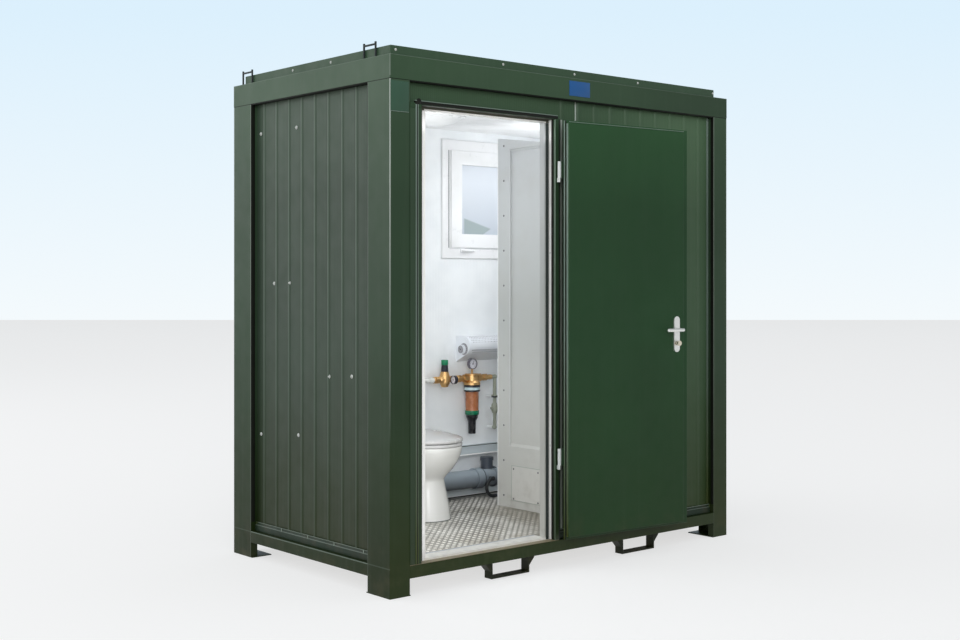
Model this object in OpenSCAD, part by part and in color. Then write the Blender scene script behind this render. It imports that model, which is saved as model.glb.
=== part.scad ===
// Portable toilet cabin: a steel frame with insulated wall panels, one outward
// opening door and a small washroom inside. Origin at the middle of the plan,
// on the ground. +X runs to the right along the front, the front faces -Y.

/* [Cabin] */
// Length along the front, over the corner posts
cabin_l = 2400; // [2300:10:2900]
// Depth from front to back, over the corner posts
cabin_w = 1400; // [1350:10:1700]
// Height of the roof frame above the ground
frame_h = 2500; // [2450:10:2700]

/* [Steel frame] */
// Corner post leg seen on the long sides
post_leg_x = 115; // [100:1:125]
// Corner post leg seen on the short sides
post_leg_y = 175; // [140:1:200]
// Thickness of the folded steel
steel_t = 5; // [3:0.5:8]
// Height of the floor rails above the ground
foot_h = 80; // [70:1:120]
// Height of the floor rails
floor_rail_h = 60; // [50:1:80]
// Height of the roof rails
roof_rail_h = 113; // [90:1:130]
// Size of the foot plate under each post, along X and Y
foot_plate = [120, 185]; // [100:1:220]

/* [Walls, floor and roof] */
// Set-back of the wall panels behind the frame face
panel_recess = 40; // [30:1:50]
// Thickness of the wall panels
wall_t = 40; // [30:1:60]
// Distance between the ribs of the outer sheet
rib_pitch = 119; // [90:1:160]
// Width of a rib at its foot
rib_w = 26; // [16:1:40]
// Height of a rib
rib_h = 5; // [3:0.5:10]
// Distance from a post or panel joint to the first rib
rib_start = 27; // [20:1:60]
// Height of the floor finish over the floor rails
floor_finish = 10; // [6:1:20]
// Distance from the roof rails down to the ceiling
ceiling_drop = 27; // [20:1:60]
// Thickness of the ceiling board
ceiling_t = 15; // [10:1:20]
// Height of the roof sheet over the roof frame
roof_rise = 42; // [25:1:60]
// Inset of the roof sheet at the front and left edges
roof_inset_near = 12; // [11:1:40]
// Inset of the roof sheet at the right and back edges
roof_inset_far = 100; // [60:1:140]
// Height of the flashing along the foot of the walls
flashing_h = 47; // [30:1:60]
// Thickness of the flashing
flashing_t = 3; // [2:0.5:4]

/* [Lifting points] */
// Distance between the middles of the two fork loops of a side
fork_spacing = 920; // [700:10:1000]
// Width of a fork loop over its legs
fork_w = 250; // [220:1:280]
// Radius of the bend where a leg turns out under the rail
fork_bend = 14; // [8:1:20]
// Length of the flat that is welded to the rail
fork_flat = 8; // [4:1:30]
// Thickness of the fork loop strap
fork_t = 8; // [6:1:10]
// Depth of the fork loop strap
fork_depth = 52; // [40:1:70]
// Gap between the ground and the fork loops
fork_clear = 5; // [3:1:15]
// Thickness of the bars of the roof lugs
lug_t = 8; // [6:0.5:9]
// Height of the roof lugs over the roof frame
lug_h = 70; // [50:1:90]
// Width of a roof lug
lug_w = 100; // [70:1:120]
// Height of the cross bar of a roof lug over the roof frame
lug_bar_z = 54; // [30:1:60]
// Distance from the front edge of the roof to the front lug
lug_front = 115; // [60:1:160]
// Distance from the back edge of the roof to the back lug
lug_back = 84; // [60:1:160]

/* [Doorway] */
// Face of the door frame between the left post and the door
lock_face = 66; // [40:1:90]
// Face of the door frame beside the hinges
hinge_face = 25; // [20:1:40]
// Face of the door frame over the door
head_face = 8; // [6:1:20]
// Height of the wall panel over the door frame
over_door_h = 102; // [60:1:200]
// Width of the wall panel between the door frame and the panel joint
beside_door_w = 120; // [60:1:160]
// Distance by which the door frame stands out from the posts
face_out = 3; // [1:0.5:6]
// Depth of the door stop in the frame
stop_depth = 33; // [20:1:38]
// Thickness of the threshold strip and of the sill sheet
sill_t = 2; // [1:0.5:4]
// Reach of the sill sheet over the floor
sill_in = 60; // [30:1:120]

/* [Door] */
// Angle by which the door stands open
door_open = 175; // [90:1:176]
// Width of the door skin
leaf_w = 848; // [780:1:860]
// Thickness of the door skin
leaf_skin = 15; // [10:1:20]
// Thickness of the door core behind the skin
leaf_core = 27; // [20:1:28]
// Overlap of the skin past the core at the lock edge
lip_lock = 50; // [30:1:58]
// Overlap of the skin past the core at the hinge edge
lip_hinge = 3; // [2:1:8]
// Overlap of the skin past the core at the top and foot
lip_end = 16; // [14:1:24]
// How far the stop reaches behind the hinge edge of the leaf
stop_hinge = 17; // [12:1:24]
// Gap all round the door
door_gap = 6; // [5:0.5:8]

/* [Hinges] */
// Distance from the hinge axis to the edge of the door
hinge_inset = 15; // [12:1:20]
// Distance from the hinge axis to the outer face of the door
hinge_stand = 17; // [14:1:22]
// Diameter of the hinge barrels
barrel_d = 16; // [12:1:20]
// Length of a hinge barrel
barrel_l = 105; // [80:1:120]
// Length of the lower half of a barrel
barrel_low = 21; // [15:1:40]
// Diameter of the hinge pins
pin_d = 8; // [6:0.5:9]
// Running gap round the hinge pins and spindles
pin_gap = 0.08; // [0.05:0.01:0.1]
// Gap between the two halves of a barrel
barrel_gap = 0.3; // [0.2:0.1:0.5]
// Distance from the hinge axis to the far edge of a hinge strap
strap_l = 45; // [35:1:70]
// Distance from the foot of the door to the middle of the lower hinge
hinge_rise = 407; // [250:1:500]
// Distance from the top of the door to the middle of the upper hinge
hinge_drop = 261; // [150:1:400]

/* [Lock] */
// Distance from the lock edge of the door to the lock
lock_inset = 108; // [95:1:130]
// Height of the lever axis over the floor
lever_h = 1046; // [900:1:1150]
// Width of the lock plates
plate_w = 40; // [34:1:48]
// Length of the lock plates
plate_l = 191; // [170:1:220]
// Thickness of the lock plates
plate_t = 8; // [6:1:10]
// Height of the lever axis over the middle of the lock plate
lever_up = 24; // [15:1:35]
// Distance from the lever axis down to the key cylinder
cylinder_drop = 72; // [60:1:85]
// Diameter of the spindles
spindle_d = 12; // [8:1:14]
// Length of the levers
lever_l = 115; // [100:1:135]
// Diameter of the levers
lever_d = 18; // [14:1:20]
// Stand-off of the levers from the door faces
lever_stand = 55; // [45:1:60]
// Gap between the lever or thumb-turn and the lock plate
knob_gap = 5; // [5:0.5:6]
// Diameter of the thumb-turn
turn_d = 27; // [22:1:32]
// Stand-off of the thumb-turn from the lock plate
turn_stand = 22; // [18:1:26]
// Depth of the thumb-turn's spindle in the door
turn_depth = 18; // [10:1:25]

/* [Window] */
// Distance from the window to the right wall
window_side = 305; // [200:1:400]
// Distance from the roof rails down to the window
window_drop = 82; // [40:1:120]
// Width of the window frame
window_w = 652; // [500:1:700]
// Height of the window frame
window_h = 714; // [500:1:730]
// Distance from the window to the panel joint of the back wall
window_joint = 177; // [100:1:250]
// Width of the fixed frame seen from inside
window_frame_w = 64; // [50:1:75]
// Width of the sash
sash_w = 84; // [60:1:95]
// Distance by which the window frame stands out inside and outside
window_out = 12; // [6:1:20]
// Distance by which the sash stands out from the window frame
sash_out = 8; // [4:1:12]
// Thickness of the glass
glass_t = 24; // [16:1:28]
// Length of the window handle
handle_l = 95; // [80:1:120]
// Thickness of the window handle
handle_d = 16; // [12:1:20]
// Distance from the sash's left edge to the window handle
handle_side = 73; // [40:1:150]

/* [Side panel] */
// Distance from the doorway to the side panel's face
panel_off = 462; // [400:1:520]
// Distance from the front wall to the panel's far edge
panel_l = 860; // [760:1:900]
// Gap between the panel's highest point and the ceiling
panel_top_gap = 76; // [40:1:150]
// Fall of the panel's top edge towards the front
panel_fall = 58; // [0:1:90]
// Length of the falling top edge
panel_fall_l = 450; // [300:1:600]
// Thickness of the side panel
panel_t = 30; // [20:1:40]
// Depth of the moulded field in the side panel
field_depth = 12; // [6:1:15]
// Width of the flange between the field and the panel's far edge
field_far = 105; // [80:1:140]
// Width of the flange between the field and the front wall
field_near = 40; // [20:1:80]
// Height of the sloping ledge at the foot of the field, over the floor
field_foot = 355; // [320:1:420]
// Height of that ledge's slope
field_slope = 16; // [8:1:30]
// Distance from the panel's lower top edge down to the field
field_top_gap = 8; // [4:1:60]
// Length of the access cover
cover_l = 615; // [400:1:700]
// Height of the access cover
cover_h = 198; // [150:1:260]
// Distance from the floor to the access cover
cover_rise = 47; // [30:1:60]
// Distance from the panel's far edge to the access cover
cover_far = 125; // [90:1:160]
// Thickness of the access cover
cover_t = 4; // [2:0.5:8]
// Corner radius of the access cover
cover_r = 10; // [4:1:30]

/* [Toilet] */
// Distance from the left wall to the middle of the toilet
toilet_side = 820; // [600:1:900]
// Distance from the back wall to the front tip of the pan
toilet_reach = 640; // [600:1:680]
// Length of the pan
pan_l = 480; // [440:1:500]
// Width of the pan at its rim
pan_w = 360; // [330:1:380]
// Height of the rim over the floor
pan_h = 405; // [380:1:430]
// Depth of the upright band under the rim
rim_band = 34; // [20:1:50]
// Height of the waist over the floor
waist_h = 210; // [180:1:230]
// Distance by which the bowl draws in from rim to waist
bowl_draw = 92; // [80:1:100]
// Width of the pedestal at the waist
waist_w = 160; // [140:1:170]
// Width of the pedestal at the floor
foot_w = 214; // [190:1:240]
// Length of the pedestal at the floor
foot_l = 350; // [300:1:360]
// Width of the rim
rim_w = 45; // [35:1:60]
// Thickness of the seat
seat_t = 18; // [14:1:24]
// Thickness of the lid at its edge
lid_t = 16; // [12:1:22]
// Height of the lid's dome over its edge
lid_dome = 8; // [2:1:14]
// Gap between the seat and the lid
lid_gap = 5; // [5:0.5:8]
// Overhang of seat and lid past the rim
seat_out = 5; // [2:1:10]
// Distance by which the seat covers the inside of the rim
seat_in = 15; // [5:1:25]
// Width of the tongue that carries the lid
lid_tongue = 110; // [80:1:160]
// Width of the ears beside the tongue
ear_w = 14; // [10:1:20]
// Width of the cistern
cistern_w = 380; // [340:1:420]
// Height of the cistern
cistern_h = 360; // [300:1:400]
// Depth of the cistern
cistern_d = 115; // [100:1:115]
// Height of the cistern over the floor
cistern_rise = 500; // [460:1:560]
// Diameter of the flush pipe
flush_d = 44; // [32:1:50]

/* [Water line] */
// Height of the water line over the floor
water_h = 720; // [680:1:760]
// Distance of the water line from the back wall
water_off = 60; // [50:1:70]
// Diameter of the water pipe
water_d = 25; // [20:1:28]
// Distance from the cistern to the elbow of the water pipe
pipe_gap = 50; // [30:1:60]
// Distance from the cistern to the pressure reducer
reducer_gap = 251; // [230:1:270]
// Diameter of the pressure reducer's body
reducer_d = 58; // [45:1:62]
// Height of the pressure reducer over the water line
reducer_h = 118; // [100:1:130]
// Distance from the pressure reducer to the filter
filter_gap = 212; // [200:1:250]
// Diameter of the filter head
head_d = 100; // [90:1:108]
// Diameter of the filter cup
cup_d = 82; // [65:1:85]
// Length of the filter cup
cup_l = 119; // [100:1:150]
// Length of the flushing tube under the filter cup
tube_l = 79; // [50:1:120]
// Diameter of the filter's gauge
gauge_d = 64; // [50:1:66]
// Height of the filter gauge's middle over the filter head
gauge_rise = 60; // [55:1:62]
// Diameter of the reducer's gauge
small_gauge_d = 50; // [40:1:56]
// Distance from the filter to the drop pipe
drop_gap = 181; // [170:1:220]
// Diameter of the drop pipe
drop_d = 20; // [16:1:24]
// Length of the drop pipe
drop_l = 310; // [280:1:340]

/* [Drain] */
// Diameter of the drain pipe
drain_d = 110; // [90:1:110]
// Height of the drain pipe's middle over the floor
drain_h = 112; // [100:1:130]
// Gap between the drain pipe and the back wall
drain_off = 8; // [4:1:20]
// Length of the drain pipe from the toilet to its tee
drain_l = 715; // [600:1:760]
// Diameter of the branch of the tee
branch_d = 72; // [50:1:80]
// Height of the branch over the drain pipe's middle
branch_h = 122; // [100:1:150]
// Diameter of the waste hose
hose_d = 20; // [16:1:24]
// Radius of the waste hose's bow
hose_r = 52; // [40:1:60]
// Height of the trunking over the floor
trunk_rise = 254; // [240:1:300]
// Height of the trunking
trunk_h = 55; // [40:1:70]
// Depth of the trunking
trunk_d = 40; // [20:1:44]
// Height of the skirting
skirting_h = 50; // [40:1:80]
// Thickness of the skirting
skirting_t = 6; // [4:1:8]

/* [Heater and lamp] */
// Distance from the right wall to the heater
heater_side = 393; // [300:1:450]
// Length of the heater
heater_l = 450; // [400:1:520]
// Height of the heater over the middle of the filter's gauge
heater_over = 13; // [10:1:60]
// Height of the heater
heater_h = 155; // [145:1:165]
// Depth of the heater
heater_d = 130; // [110:1:150]
// Length of the heater's end caps
heater_cap = 16; // [8:1:30]
// Diameter of the heater's dial
dial_d = 56; // [40:1:70]
// Height of the heater's dial
dial_h = 14; // [8:1:20]
// Diameter of the ceiling lamp
lamp_d = 330; // [250:1:360]
// Height of the ceiling lamp
lamp_h = 60; // [40:1:90]
// Distance from the left wall to the middle of the lamp
lamp_side = 830; // [600:1:1000]
// Distance from the back wall to the middle of the lamp
lamp_back = 515; // [300:1:600]

/* [Hidden] */
$fn = 48;
eps = 0.01;
slit = 0.3;
hx = cabin_l / 2;
hy = cabin_w / 2;
rail_z1 = foot_h + floor_rail_h;
roof_z0 = frame_h - roof_rail_h;
wall_ox = hx - panel_recess;
wall_oy = hy - panel_recess;
wall_ix = wall_ox - wall_t;
wall_iy = wall_oy - wall_t;
floor_z = rail_z1 + floor_finish;
ceiling_z = roof_z0 - ceiling_drop;
post_x = hx - post_leg_x;
post_y = hy - post_leg_y;

// Doorway and leaf, with the leaf shut
frame_y = -hy - face_out;
leaf_y = frame_y - sill_t;
skin_y = leaf_y + leaf_skin;
core_y = skin_y + leaf_core;
hinge_y = leaf_y - hinge_stand;
jamb_x0 = -post_x;
rebate_x0 = jamb_x0 + lock_face;
leaf_x0 = rebate_x0 + door_gap;
leaf_x1 = leaf_x0 + leaf_w;
hinge_x = leaf_x1 + hinge_inset;
rebate_x1 = leaf_x1 + door_gap;
jamb_x1 = rebate_x1 + hinge_face;
panel_joint_x = jamb_x1 + beside_door_w;
head_z1 = roof_z0 - over_door_h;
rebate_z1 = head_z1 - head_face;
leaf_z0 = rail_z1 + sill_t + door_gap;
leaf_z1 = rebate_z1 - door_gap;
core_x0 = leaf_x0 + lip_lock;
core_x1 = leaf_x1 - lip_hinge;
core_z0 = leaf_z0 + lip_end;
core_z1 = leaf_z1 - lip_end;
clear_x0 = core_x0 - door_gap;
clear_x1 = leaf_x1 - stop_hinge;
clear_z1 = core_z1 + door_gap;
stop_y = max(skin_y + stop_depth, core_y + door_gap);
hinge_z = [leaf_z0 + hinge_rise, leaf_z1 - hinge_drop];
lock_x = leaf_x0 + lock_inset;
lever_z = floor_z + lever_h;
plate_z = lever_z - lever_up;
turn_z = lever_z - cylinder_drop;

// Inside fittings
window_x = wall_ix - window_side - window_w;
window_z = roof_z0 - window_drop - window_h;
window_y0 = wall_iy - window_out;
window_y1 = wall_oy + window_out;
back_joint_x = window_x - window_joint;
panel_x = clear_x1 + panel_off;
panel_y0 = -wall_iy;
panel_y1 = panel_y0 + panel_l;
panel_z1 = ceiling_z - panel_top_gap;
toilet_x = -wall_ix + toilet_side;
toilet_y = wall_iy - toilet_reach;
bowl_y = toilet_y + pan_w / 2;
pan_back = toilet_y + pan_l;
rim_z = floor_z + pan_h;
waist_z = floor_z + waist_h;
lid_z = rim_z + seat_t + lid_gap;
lid_back = 40;
lid_axis_y = pan_back - lid_back;
lid_axis_z = lid_z + lid_t / 2;
water_y = wall_iy - water_off;
water_z = floor_z + water_h;
cistern_x1 = toilet_x + cistern_w / 2;
reducer_x = cistern_x1 + reducer_gap;
filter_x = reducer_x + filter_gap;
drop_x = filter_x + drop_gap;
drain_y = wall_iy - drain_d / 2 - drain_off;
drain_z = floor_z + drain_h;
drain_end = toilet_x + drain_l;
heater_x = wall_ix - heater_side - heater_l;
heater_z = water_z + head_d / 4 + gauge_rise + heater_over;

green = "#2c4630";
dark_green = "#3a4034";
white = "#f2f3f2";
grey = "#c4c6c4";
brass = "goldenrod";

// A block between two corners
module block(a, b) {
    translate(a)
        cube(b - a);
}

// The four copies of a corner piece
module at_corners() {
    for (sx = [0, 1], sy = [0, 1])
        mirror([sx, 0, 0])
            mirror([0, sy, 0])
                children();
}

// A front piece and its copy at the back
module front_and_back() {
    for (sy = [0, 1])
        mirror([0, sy, 0])
            children();
}

// A left piece and its copy at the right
module left_and_right() {
    for (sx = [0, 1])
        mirror([sx, 0, 0])
            children();
}

// A YZ section drawn out along X
module along_x(x0, x1) {
    translate([x0, 0, 0])
        rotate([90, 0, 90])
            linear_extrude(x1 - x0)
                children();
}

// An XZ section drawn out along Y
module along_y(y0, y1) {
    translate([0, y1, 0])
        rotate([90, 0, 0])
            linear_extrude(y1 - y0)
                children();
}

// Folded corner post with returns to the wall panels, on its foot plate
module corner_posts() {
    color(green)
        at_corners()
            union() {
                translate([0, 0, steel_t])
                    linear_extrude(roof_z0 - steel_t)
                        post_section();
                block([-hx, -hy, 0], [-hx + foot_plate[0], -hy + foot_plate[1], steel_t]);
            }
}

module post_section() {
    translate([-hx, -hy])
        difference() {
            square([post_leg_x, post_leg_y]);
            translate([steel_t, steel_t])
                square([post_leg_x - 2 * steel_t, post_leg_y - 2 * steel_t]);
            translate([panel_recess, panel_recess])
                square([post_leg_x, post_leg_y]);
        }
}

// Rails of channel section, open to the inside
module floor_rails_long() {
    color(green)
        front_and_back()
            along_x(-post_x, post_x)
                channel(hy, foot_h, floor_rail_h);
}

module floor_rails_short() {
    color(green)
        left_and_right()
            along_y(-post_y, post_y)
                channel(hx, foot_h, floor_rail_h);
}

// Channel with its web at -reach and its flanges pointing to the middle
module channel(reach, z, h) {
    flange = panel_recess + wall_t;
    translate([-reach, z])
        difference() {
            square([flange, h]);
            translate([steel_t, steel_t])
                square([flange, h - 2 * steel_t]);
        }
}

module roof_rails_long() {
    color(green)
        front_and_back()
            along_x(-hx + steel_t, hx - steel_t)
                channel(hy, roof_z0, roof_rail_h);
}

// Short roof rails, whose webs close the ends of the long ones
module roof_rails_short() {
    color(green)
        left_and_right()
            union() {
                block([-hx, -hy, roof_z0], [-hx + steel_t, hy, frame_h]);
                along_y(-wall_iy, wall_iy)
                    channel(hx, roof_z0, roof_rail_h);
            }
}

// Roof sheet: a shallow tray turned upside down, its sides folded down to the roof rails
module roof_sheet() {
    low = [-hx + roof_inset_near, -hy + roof_inset_near, frame_h];
    high = [hx - roof_inset_far, hy - roof_inset_far, frame_h + roof_rise];
    color(green)
        difference() {
            block(low, high);
            block(low + [steel_t, steel_t, -1], high - [steel_t, steel_t, steel_t]);
        }
}

// H-shaped lugs on the left roof rail
module roof_lugs() {
    color(dark_green)
        for (y = [-hy + lug_front, hy - lug_back - lug_w])
            translate([-hx + (roof_inset_near - lug_t) / 2, y, frame_h])
                union() {
                    for (side = [0, lug_w - lug_t])
                        translate([0, side, 0])
                            cube([lug_t, lug_t, lug_h]);
                    translate([0, 0, lug_bar_z])
                        cube([lug_t, lug_w, lug_t]);
                }
}

// Strap loops under the long floor rails for a lifting fork
module fork_loops() {
    color(green)
        front_and_back()
            for (x = [-fork_spacing / 2, fork_spacing / 2])
                translate([x, 0, 0])
                    along_y(-hy, -hy + fork_depth)
                        fork_section();
}

// Strap bent to a hat: lower bar, two legs and the feet turned out under the rail
module fork_section() {
    bend_z = foot_h - fork_t - fork_bend;
    outer_r = fork_bend + fork_t;
    difference() {
        translate([-fork_w / 2, fork_clear])
            square([fork_w, bend_z - fork_clear]);
        translate([-fork_w / 2 + fork_t, fork_clear + fork_t])
            square([fork_w - 2 * fork_t, foot_h]);
    }
    for (side = [0, 1])
        mirror([side, 0])
            translate([-fork_w / 2 - fork_bend, bend_z]) {
                intersection() {
                    difference() {
                        circle(r = outer_r);
                        circle(r = fork_bend);
                    }
                    square(outer_r);
                }
                translate([-fork_flat, fork_bend])
                    square([fork_flat, fork_t]);
            }
}

// Insulated floor held in the floor rails, with the tread surface on top
module floor_deck() {
    color("silver")
        union() {
            block([-post_x, -hy + steel_t, foot_h + steel_t], [post_x, hy - steel_t, rail_z1 - steel_t]);
            block([-hx + steel_t, -post_y, foot_h + steel_t], [hx - steel_t, post_y, rail_z1 - steel_t]);
            block([-wall_ix, -wall_iy, rail_z1 - steel_t], [wall_ix, wall_iy, floor_z]);
        }
}

module ceiling_board() {
    color(white)
        block([-wall_ix, -wall_iy, ceiling_z], [wall_ix, wall_iy, ceiling_z + ceiling_t]);
}

// Wall panel from u = 0 to len, with its ribs on the -V side at the given places
module wall(len, ribs) {
    translate([0, 0, rail_z1])
        linear_extrude(roof_z0 - rail_z1) {
            square([len, wall_t]);
            for (u = ribs)
                translate([u, 0])
                    polygon([[-rib_w / 2, eps], [-rib_w / 4, -rib_h], [rib_w / 4, -rib_h], [rib_w / 2, eps]]);
        }
}

module side_wall() {
    front_rib = wall_iy + post_y - rib_start;
    back_rib = wall_iy - post_y + rib_w;
    translate([-wall_ox, wall_iy, 0])
        rotate(-90)
            wall(2 * wall_iy, [front_rib : -rib_pitch : back_rib]);
}

module left_wall() {
    color(dark_green)
        side_wall();
}

module right_wall() {
    color(dark_green)
        rotate(180)
            side_wall();
}

// Plain front panels round the doorway
module front_wall_edge() {
    color(dark_green)
        block([-wall_ox, -wall_oy, rail_z1], [jamb_x0, -wall_iy, roof_z0]);
}

module front_wall_over_door() {
    color(dark_green)
        block([jamb_x0, -wall_oy, head_z1], [jamb_x1, -wall_iy, roof_z0]);
}

module front_wall_beside_door() {
    color(dark_green)
        translate([jamb_x1, -wall_oy, 0])
            wall(beside_door_w, [rib_pitch / 2]);
}

module front_wall_right() {
    color(dark_green)
        translate([panel_joint_x, -wall_oy, 0])
            wall(wall_ox - panel_joint_x, [rib_pitch / 2 : rib_pitch : post_x - panel_joint_x - rib_w]);
}

// Back panels, drawn from their right end as seen from the front
module back_wall_left() {
    color(dark_green)
        translate([back_joint_x, wall_oy, 0])
            rotate(180)
                wall(back_joint_x + wall_ox, [rib_pitch / 2 : rib_pitch : back_joint_x + post_x - rib_w]);
}

module back_wall_right() {
    len = wall_ox - back_joint_x;
    color(dark_green)
        difference() {
            translate([wall_ox, wall_oy, 0])
                rotate(180)
                    wall(len, [wall_ox - post_x + rib_start : rib_pitch : len - rib_w]);
            block([window_x, 0, window_z], [window_x + window_w, hy, window_z + window_h]);
        }
}

// Folded strips that stand on the floor rails against the ribs
module base_flashings() {
    color(green) {
        left_and_right()
            along_y(-post_y, post_y)
                flashing_section(wall_ox + rib_h);
        along_x(jamb_x1, post_x)
            flashing_section(wall_oy + rib_h);
        mirror([0, 1, 0])
            along_x(-post_x, post_x)
                flashing_section(wall_oy + rib_h);
    }
}

// Upright edge, then a fold to a foot that stands further out
module flashing_section(reach) {
    foot = 3 * flashing_t;
    translate([-reach, rail_z1])
        polygon([[0, 0], [-foot, 0], [-foot, flashing_h * 0.6], [-flashing_t, flashing_h * 0.7],
                 [-flashing_t, flashing_h], [0, flashing_h]]);
}

// Door frame uprights with a rebate and a stop
module door_jambs() {
    color(green)
        translate([0, 0, rail_z1 + sill_t])
            linear_extrude(clear_z1 - rail_z1 - sill_t) {
                polygon([[jamb_x0, frame_y], [rebate_x0, frame_y], [rebate_x0, stop_y],
                         [clear_x0, stop_y], [clear_x0, -wall_iy], [jamb_x0, -wall_iy]]);
                polygon([[jamb_x1, frame_y], [rebate_x1, frame_y], [rebate_x1, stop_y],
                         [clear_x1, stop_y], [clear_x1, -wall_iy], [jamb_x1, -wall_iy]]);
            }
}

module door_head() {
    color(green)
        difference() {
            block([jamb_x0, frame_y, clear_z1], [jamb_x1, -wall_iy, head_z1]);
            block([rebate_x0, frame_y - 1, clear_z1 - 1], [rebate_x1, stop_y, rebate_z1]);
        }
}

// Strip on the floor rail, step up behind the door and the sill sheet on the floor
module door_threshold() {
    color("wheat")
        union() {
            block([jamb_x0, frame_y, rail_z1], [jamb_x1, -wall_iy, rail_z1 + sill_t]);
            block([clear_x0, stop_y, rail_z1], [clear_x1, -wall_iy, floor_z + sill_t]);
            block([clear_x0, -wall_iy - eps, floor_z], [clear_x1, -wall_iy + sill_in, floor_z + sill_t]);
        }
}

// Turns a piece drawn on the shut door to where the door stands open
module on_door() {
    translate([hinge_x, hinge_y, 0])
        rotate(door_open)
            translate([-hinge_x, -hinge_y, 0])
                children();
}

module door_leaf() {
    bore = spindle_d + 2 * pin_gap;
    color(green)
        on_door()
            difference() {
                union() {
                    block([leaf_x0, leaf_y, leaf_z0], [leaf_x1, skin_y, leaf_z1]);
                    block([core_x0, skin_y - eps, core_z0], [core_x1, core_y, core_z1]);
                }
                across_door(lever_z, bore, leaf_y - 1, core_y + 1);
                across_door(turn_z, bore, core_y - turn_depth - 2, core_y + 1);
            }
}

// A round bar through the lock, from y0 to y1
module across_door(z, d, y0, y1) {
    translate([lock_x, y1, z])
        rotate([90, 0, 0])
            cylinder(d = d, h = y1 - y0);
}

// Lower hinge halves and their pins, on the right door post
module hinge_frame_halves() {
    tab = pin_d - 2;
    color(grey)
        for (z = hinge_z)
            translate([hinge_x, hinge_y, z - barrel_l / 2])
                union() {
                    cylinder(d = barrel_d, h = barrel_low);
                    cylinder(d = pin_d, h = barrel_l - pin_d);
                    translate([-tab / 2, 0, 0])
                        cube([tab, frame_y - hinge_y, barrel_low]);
                }
}

// Upper hinge halves with their straps, on the outer face of the door
module hinge_door_halves() {
    h = barrel_l - barrel_low - barrel_gap;
    strap_y = barrel_d / 2 - 2;
    color(grey)
        on_door()
            for (z = hinge_z)
                translate([hinge_x, hinge_y, z + barrel_l / 2 - h])
                    difference() {
                        union() {
                            cylinder(d = barrel_d, h = h);
                            translate([-strap_l, strap_y, 0])
                                cube([strap_l, hinge_stand - strap_y - 5, h]);
                            translate([-strap_l, strap_y, 0])
                                cube([strap_l - hinge_inset - 5, hinge_stand - strap_y, h]);
                        }
                        translate([0, 0, -1])
                            cylinder(d = pin_d + 2 * pin_gap, h = h - pin_d / 2);
                    }
}

// Lock plate with round ends
module lock_plate(y0) {
    translate([lock_x, y0 + plate_t, plate_z])
        rotate([90, 0, 0])
            linear_extrude(plate_t) {
                for (z = [-1, 1])
                    translate([0, z * (plate_l - plate_w) / 2])
                        circle(d = plate_w);
                square([plate_w, plate_l - plate_w], center = true);
            }
}

module lock_plates() {
    bore = spindle_d + 2 * pin_gap;
    out_y = leaf_y - plate_t;
    key_out = 4;
    color("silver")
        on_door() {
            difference() {
                lock_plate(core_y);
                across_door(lever_z, bore, core_y - 1, core_y + plate_t + 1);
                across_door(turn_z, bore, core_y - 1, core_y + plate_t + 1);
            }
            difference() {
                union() {
                    lock_plate(out_y);
                    across_door(turn_z, spindle_d * 1.5, out_y - key_out, out_y + eps);
                }
                across_door(lever_z, bore, out_y - 1, leaf_y + 1);
            }
        }
}

// Both levers on one spindle
module door_lever() {
    out_y = leaf_y - lever_stand;
    in_y = core_y + lever_stand;
    color("silver")
        on_door()
            union() {
                across_door(lever_z, spindle_d, out_y, in_y);
                across_door(lever_z, lever_d, out_y, leaf_y - plate_t - knob_gap);
                across_door(lever_z, lever_d, core_y + plate_t + knob_gap, in_y);
                for (y = [out_y, in_y])
                    lever_arm(y);
            }
}

module lever_arm(y) {
    translate([lock_x, y, lever_z])
        round_bar(lever_l - lever_d / 2, lever_d);
}

// Bar along X with round ends
module round_bar(len, d) {
    sphere(d = d);
    rotate([0, 90, 0])
        cylinder(d = d, h = len);
    translate([len, 0, 0])
        sphere(d = d);
}

// Knob with a waist behind its grip
module thumb_turn() {
    face_y = core_y + plate_t;
    grip = turn_stand - knob_gap;
    color("tan")
        on_door()
            union() {
                across_door(turn_z, spindle_d, core_y - turn_depth, face_y + turn_stand - 1);
                across_door(turn_z, turn_d * 0.8, face_y + knob_gap, face_y + knob_gap + grip / 2);
                across_door(turn_z, turn_d, face_y + knob_gap + grip / 3, face_y + turn_stand);
            }
}

// A rectangular ring in the XZ plane, from y0 to y1, inset from the window's outline
module window_ring(inset, bar, y0, y1) {
    low = [window_x + inset, y0, window_z + inset];
    high = [window_x + window_w - inset, y1, window_z + window_h - inset];
    difference() {
        block(low, high);
        block(low + [bar, -1, bar], high + [-bar, 1, -bar]);
    }
}

module window_frame() {
    color(white)
        window_ring(0, window_frame_w, window_y0, window_y1);
}

module window_sash() {
    color(white)
        window_ring(window_frame_w, sash_w, window_y0 - sash_out, window_y1 - window_out);
}

module window_glass() {
    inset = window_frame_w + sash_w;
    mid_y = (window_y0 + window_y1) / 2;
    color([0.8, 0.88, 0.9, 0.6])
        block([window_x + inset, mid_y - glass_t / 2, window_z + inset],
              [window_x + window_w - inset, mid_y + glass_t / 2, window_z + window_h - inset]);
}

// Tilt handle under the sash: a foot plate on the frame and a round bar along it
module window_handle() {
    foot_w = 2 * handle_d;
    foot_t = 6;
    color(white)
        translate([window_x + window_frame_w + handle_side, window_y0, window_z + window_frame_w * 0.75])
            union() {
                block([0, -foot_t, -handle_d * 0.8], [foot_w, 0, handle_d * 0.8]);
                translate([foot_w / 2, -foot_t - handle_d, 0])
                    rotate([-90, 0, 0])
                        cylinder(d = handle_d, h = foot_t + handle_d);
                translate([foot_w / 2, -foot_t - handle_d, 0])
                    round_bar(handle_l - foot_w / 2 - handle_d / 2, handle_d);
            }
}

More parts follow.
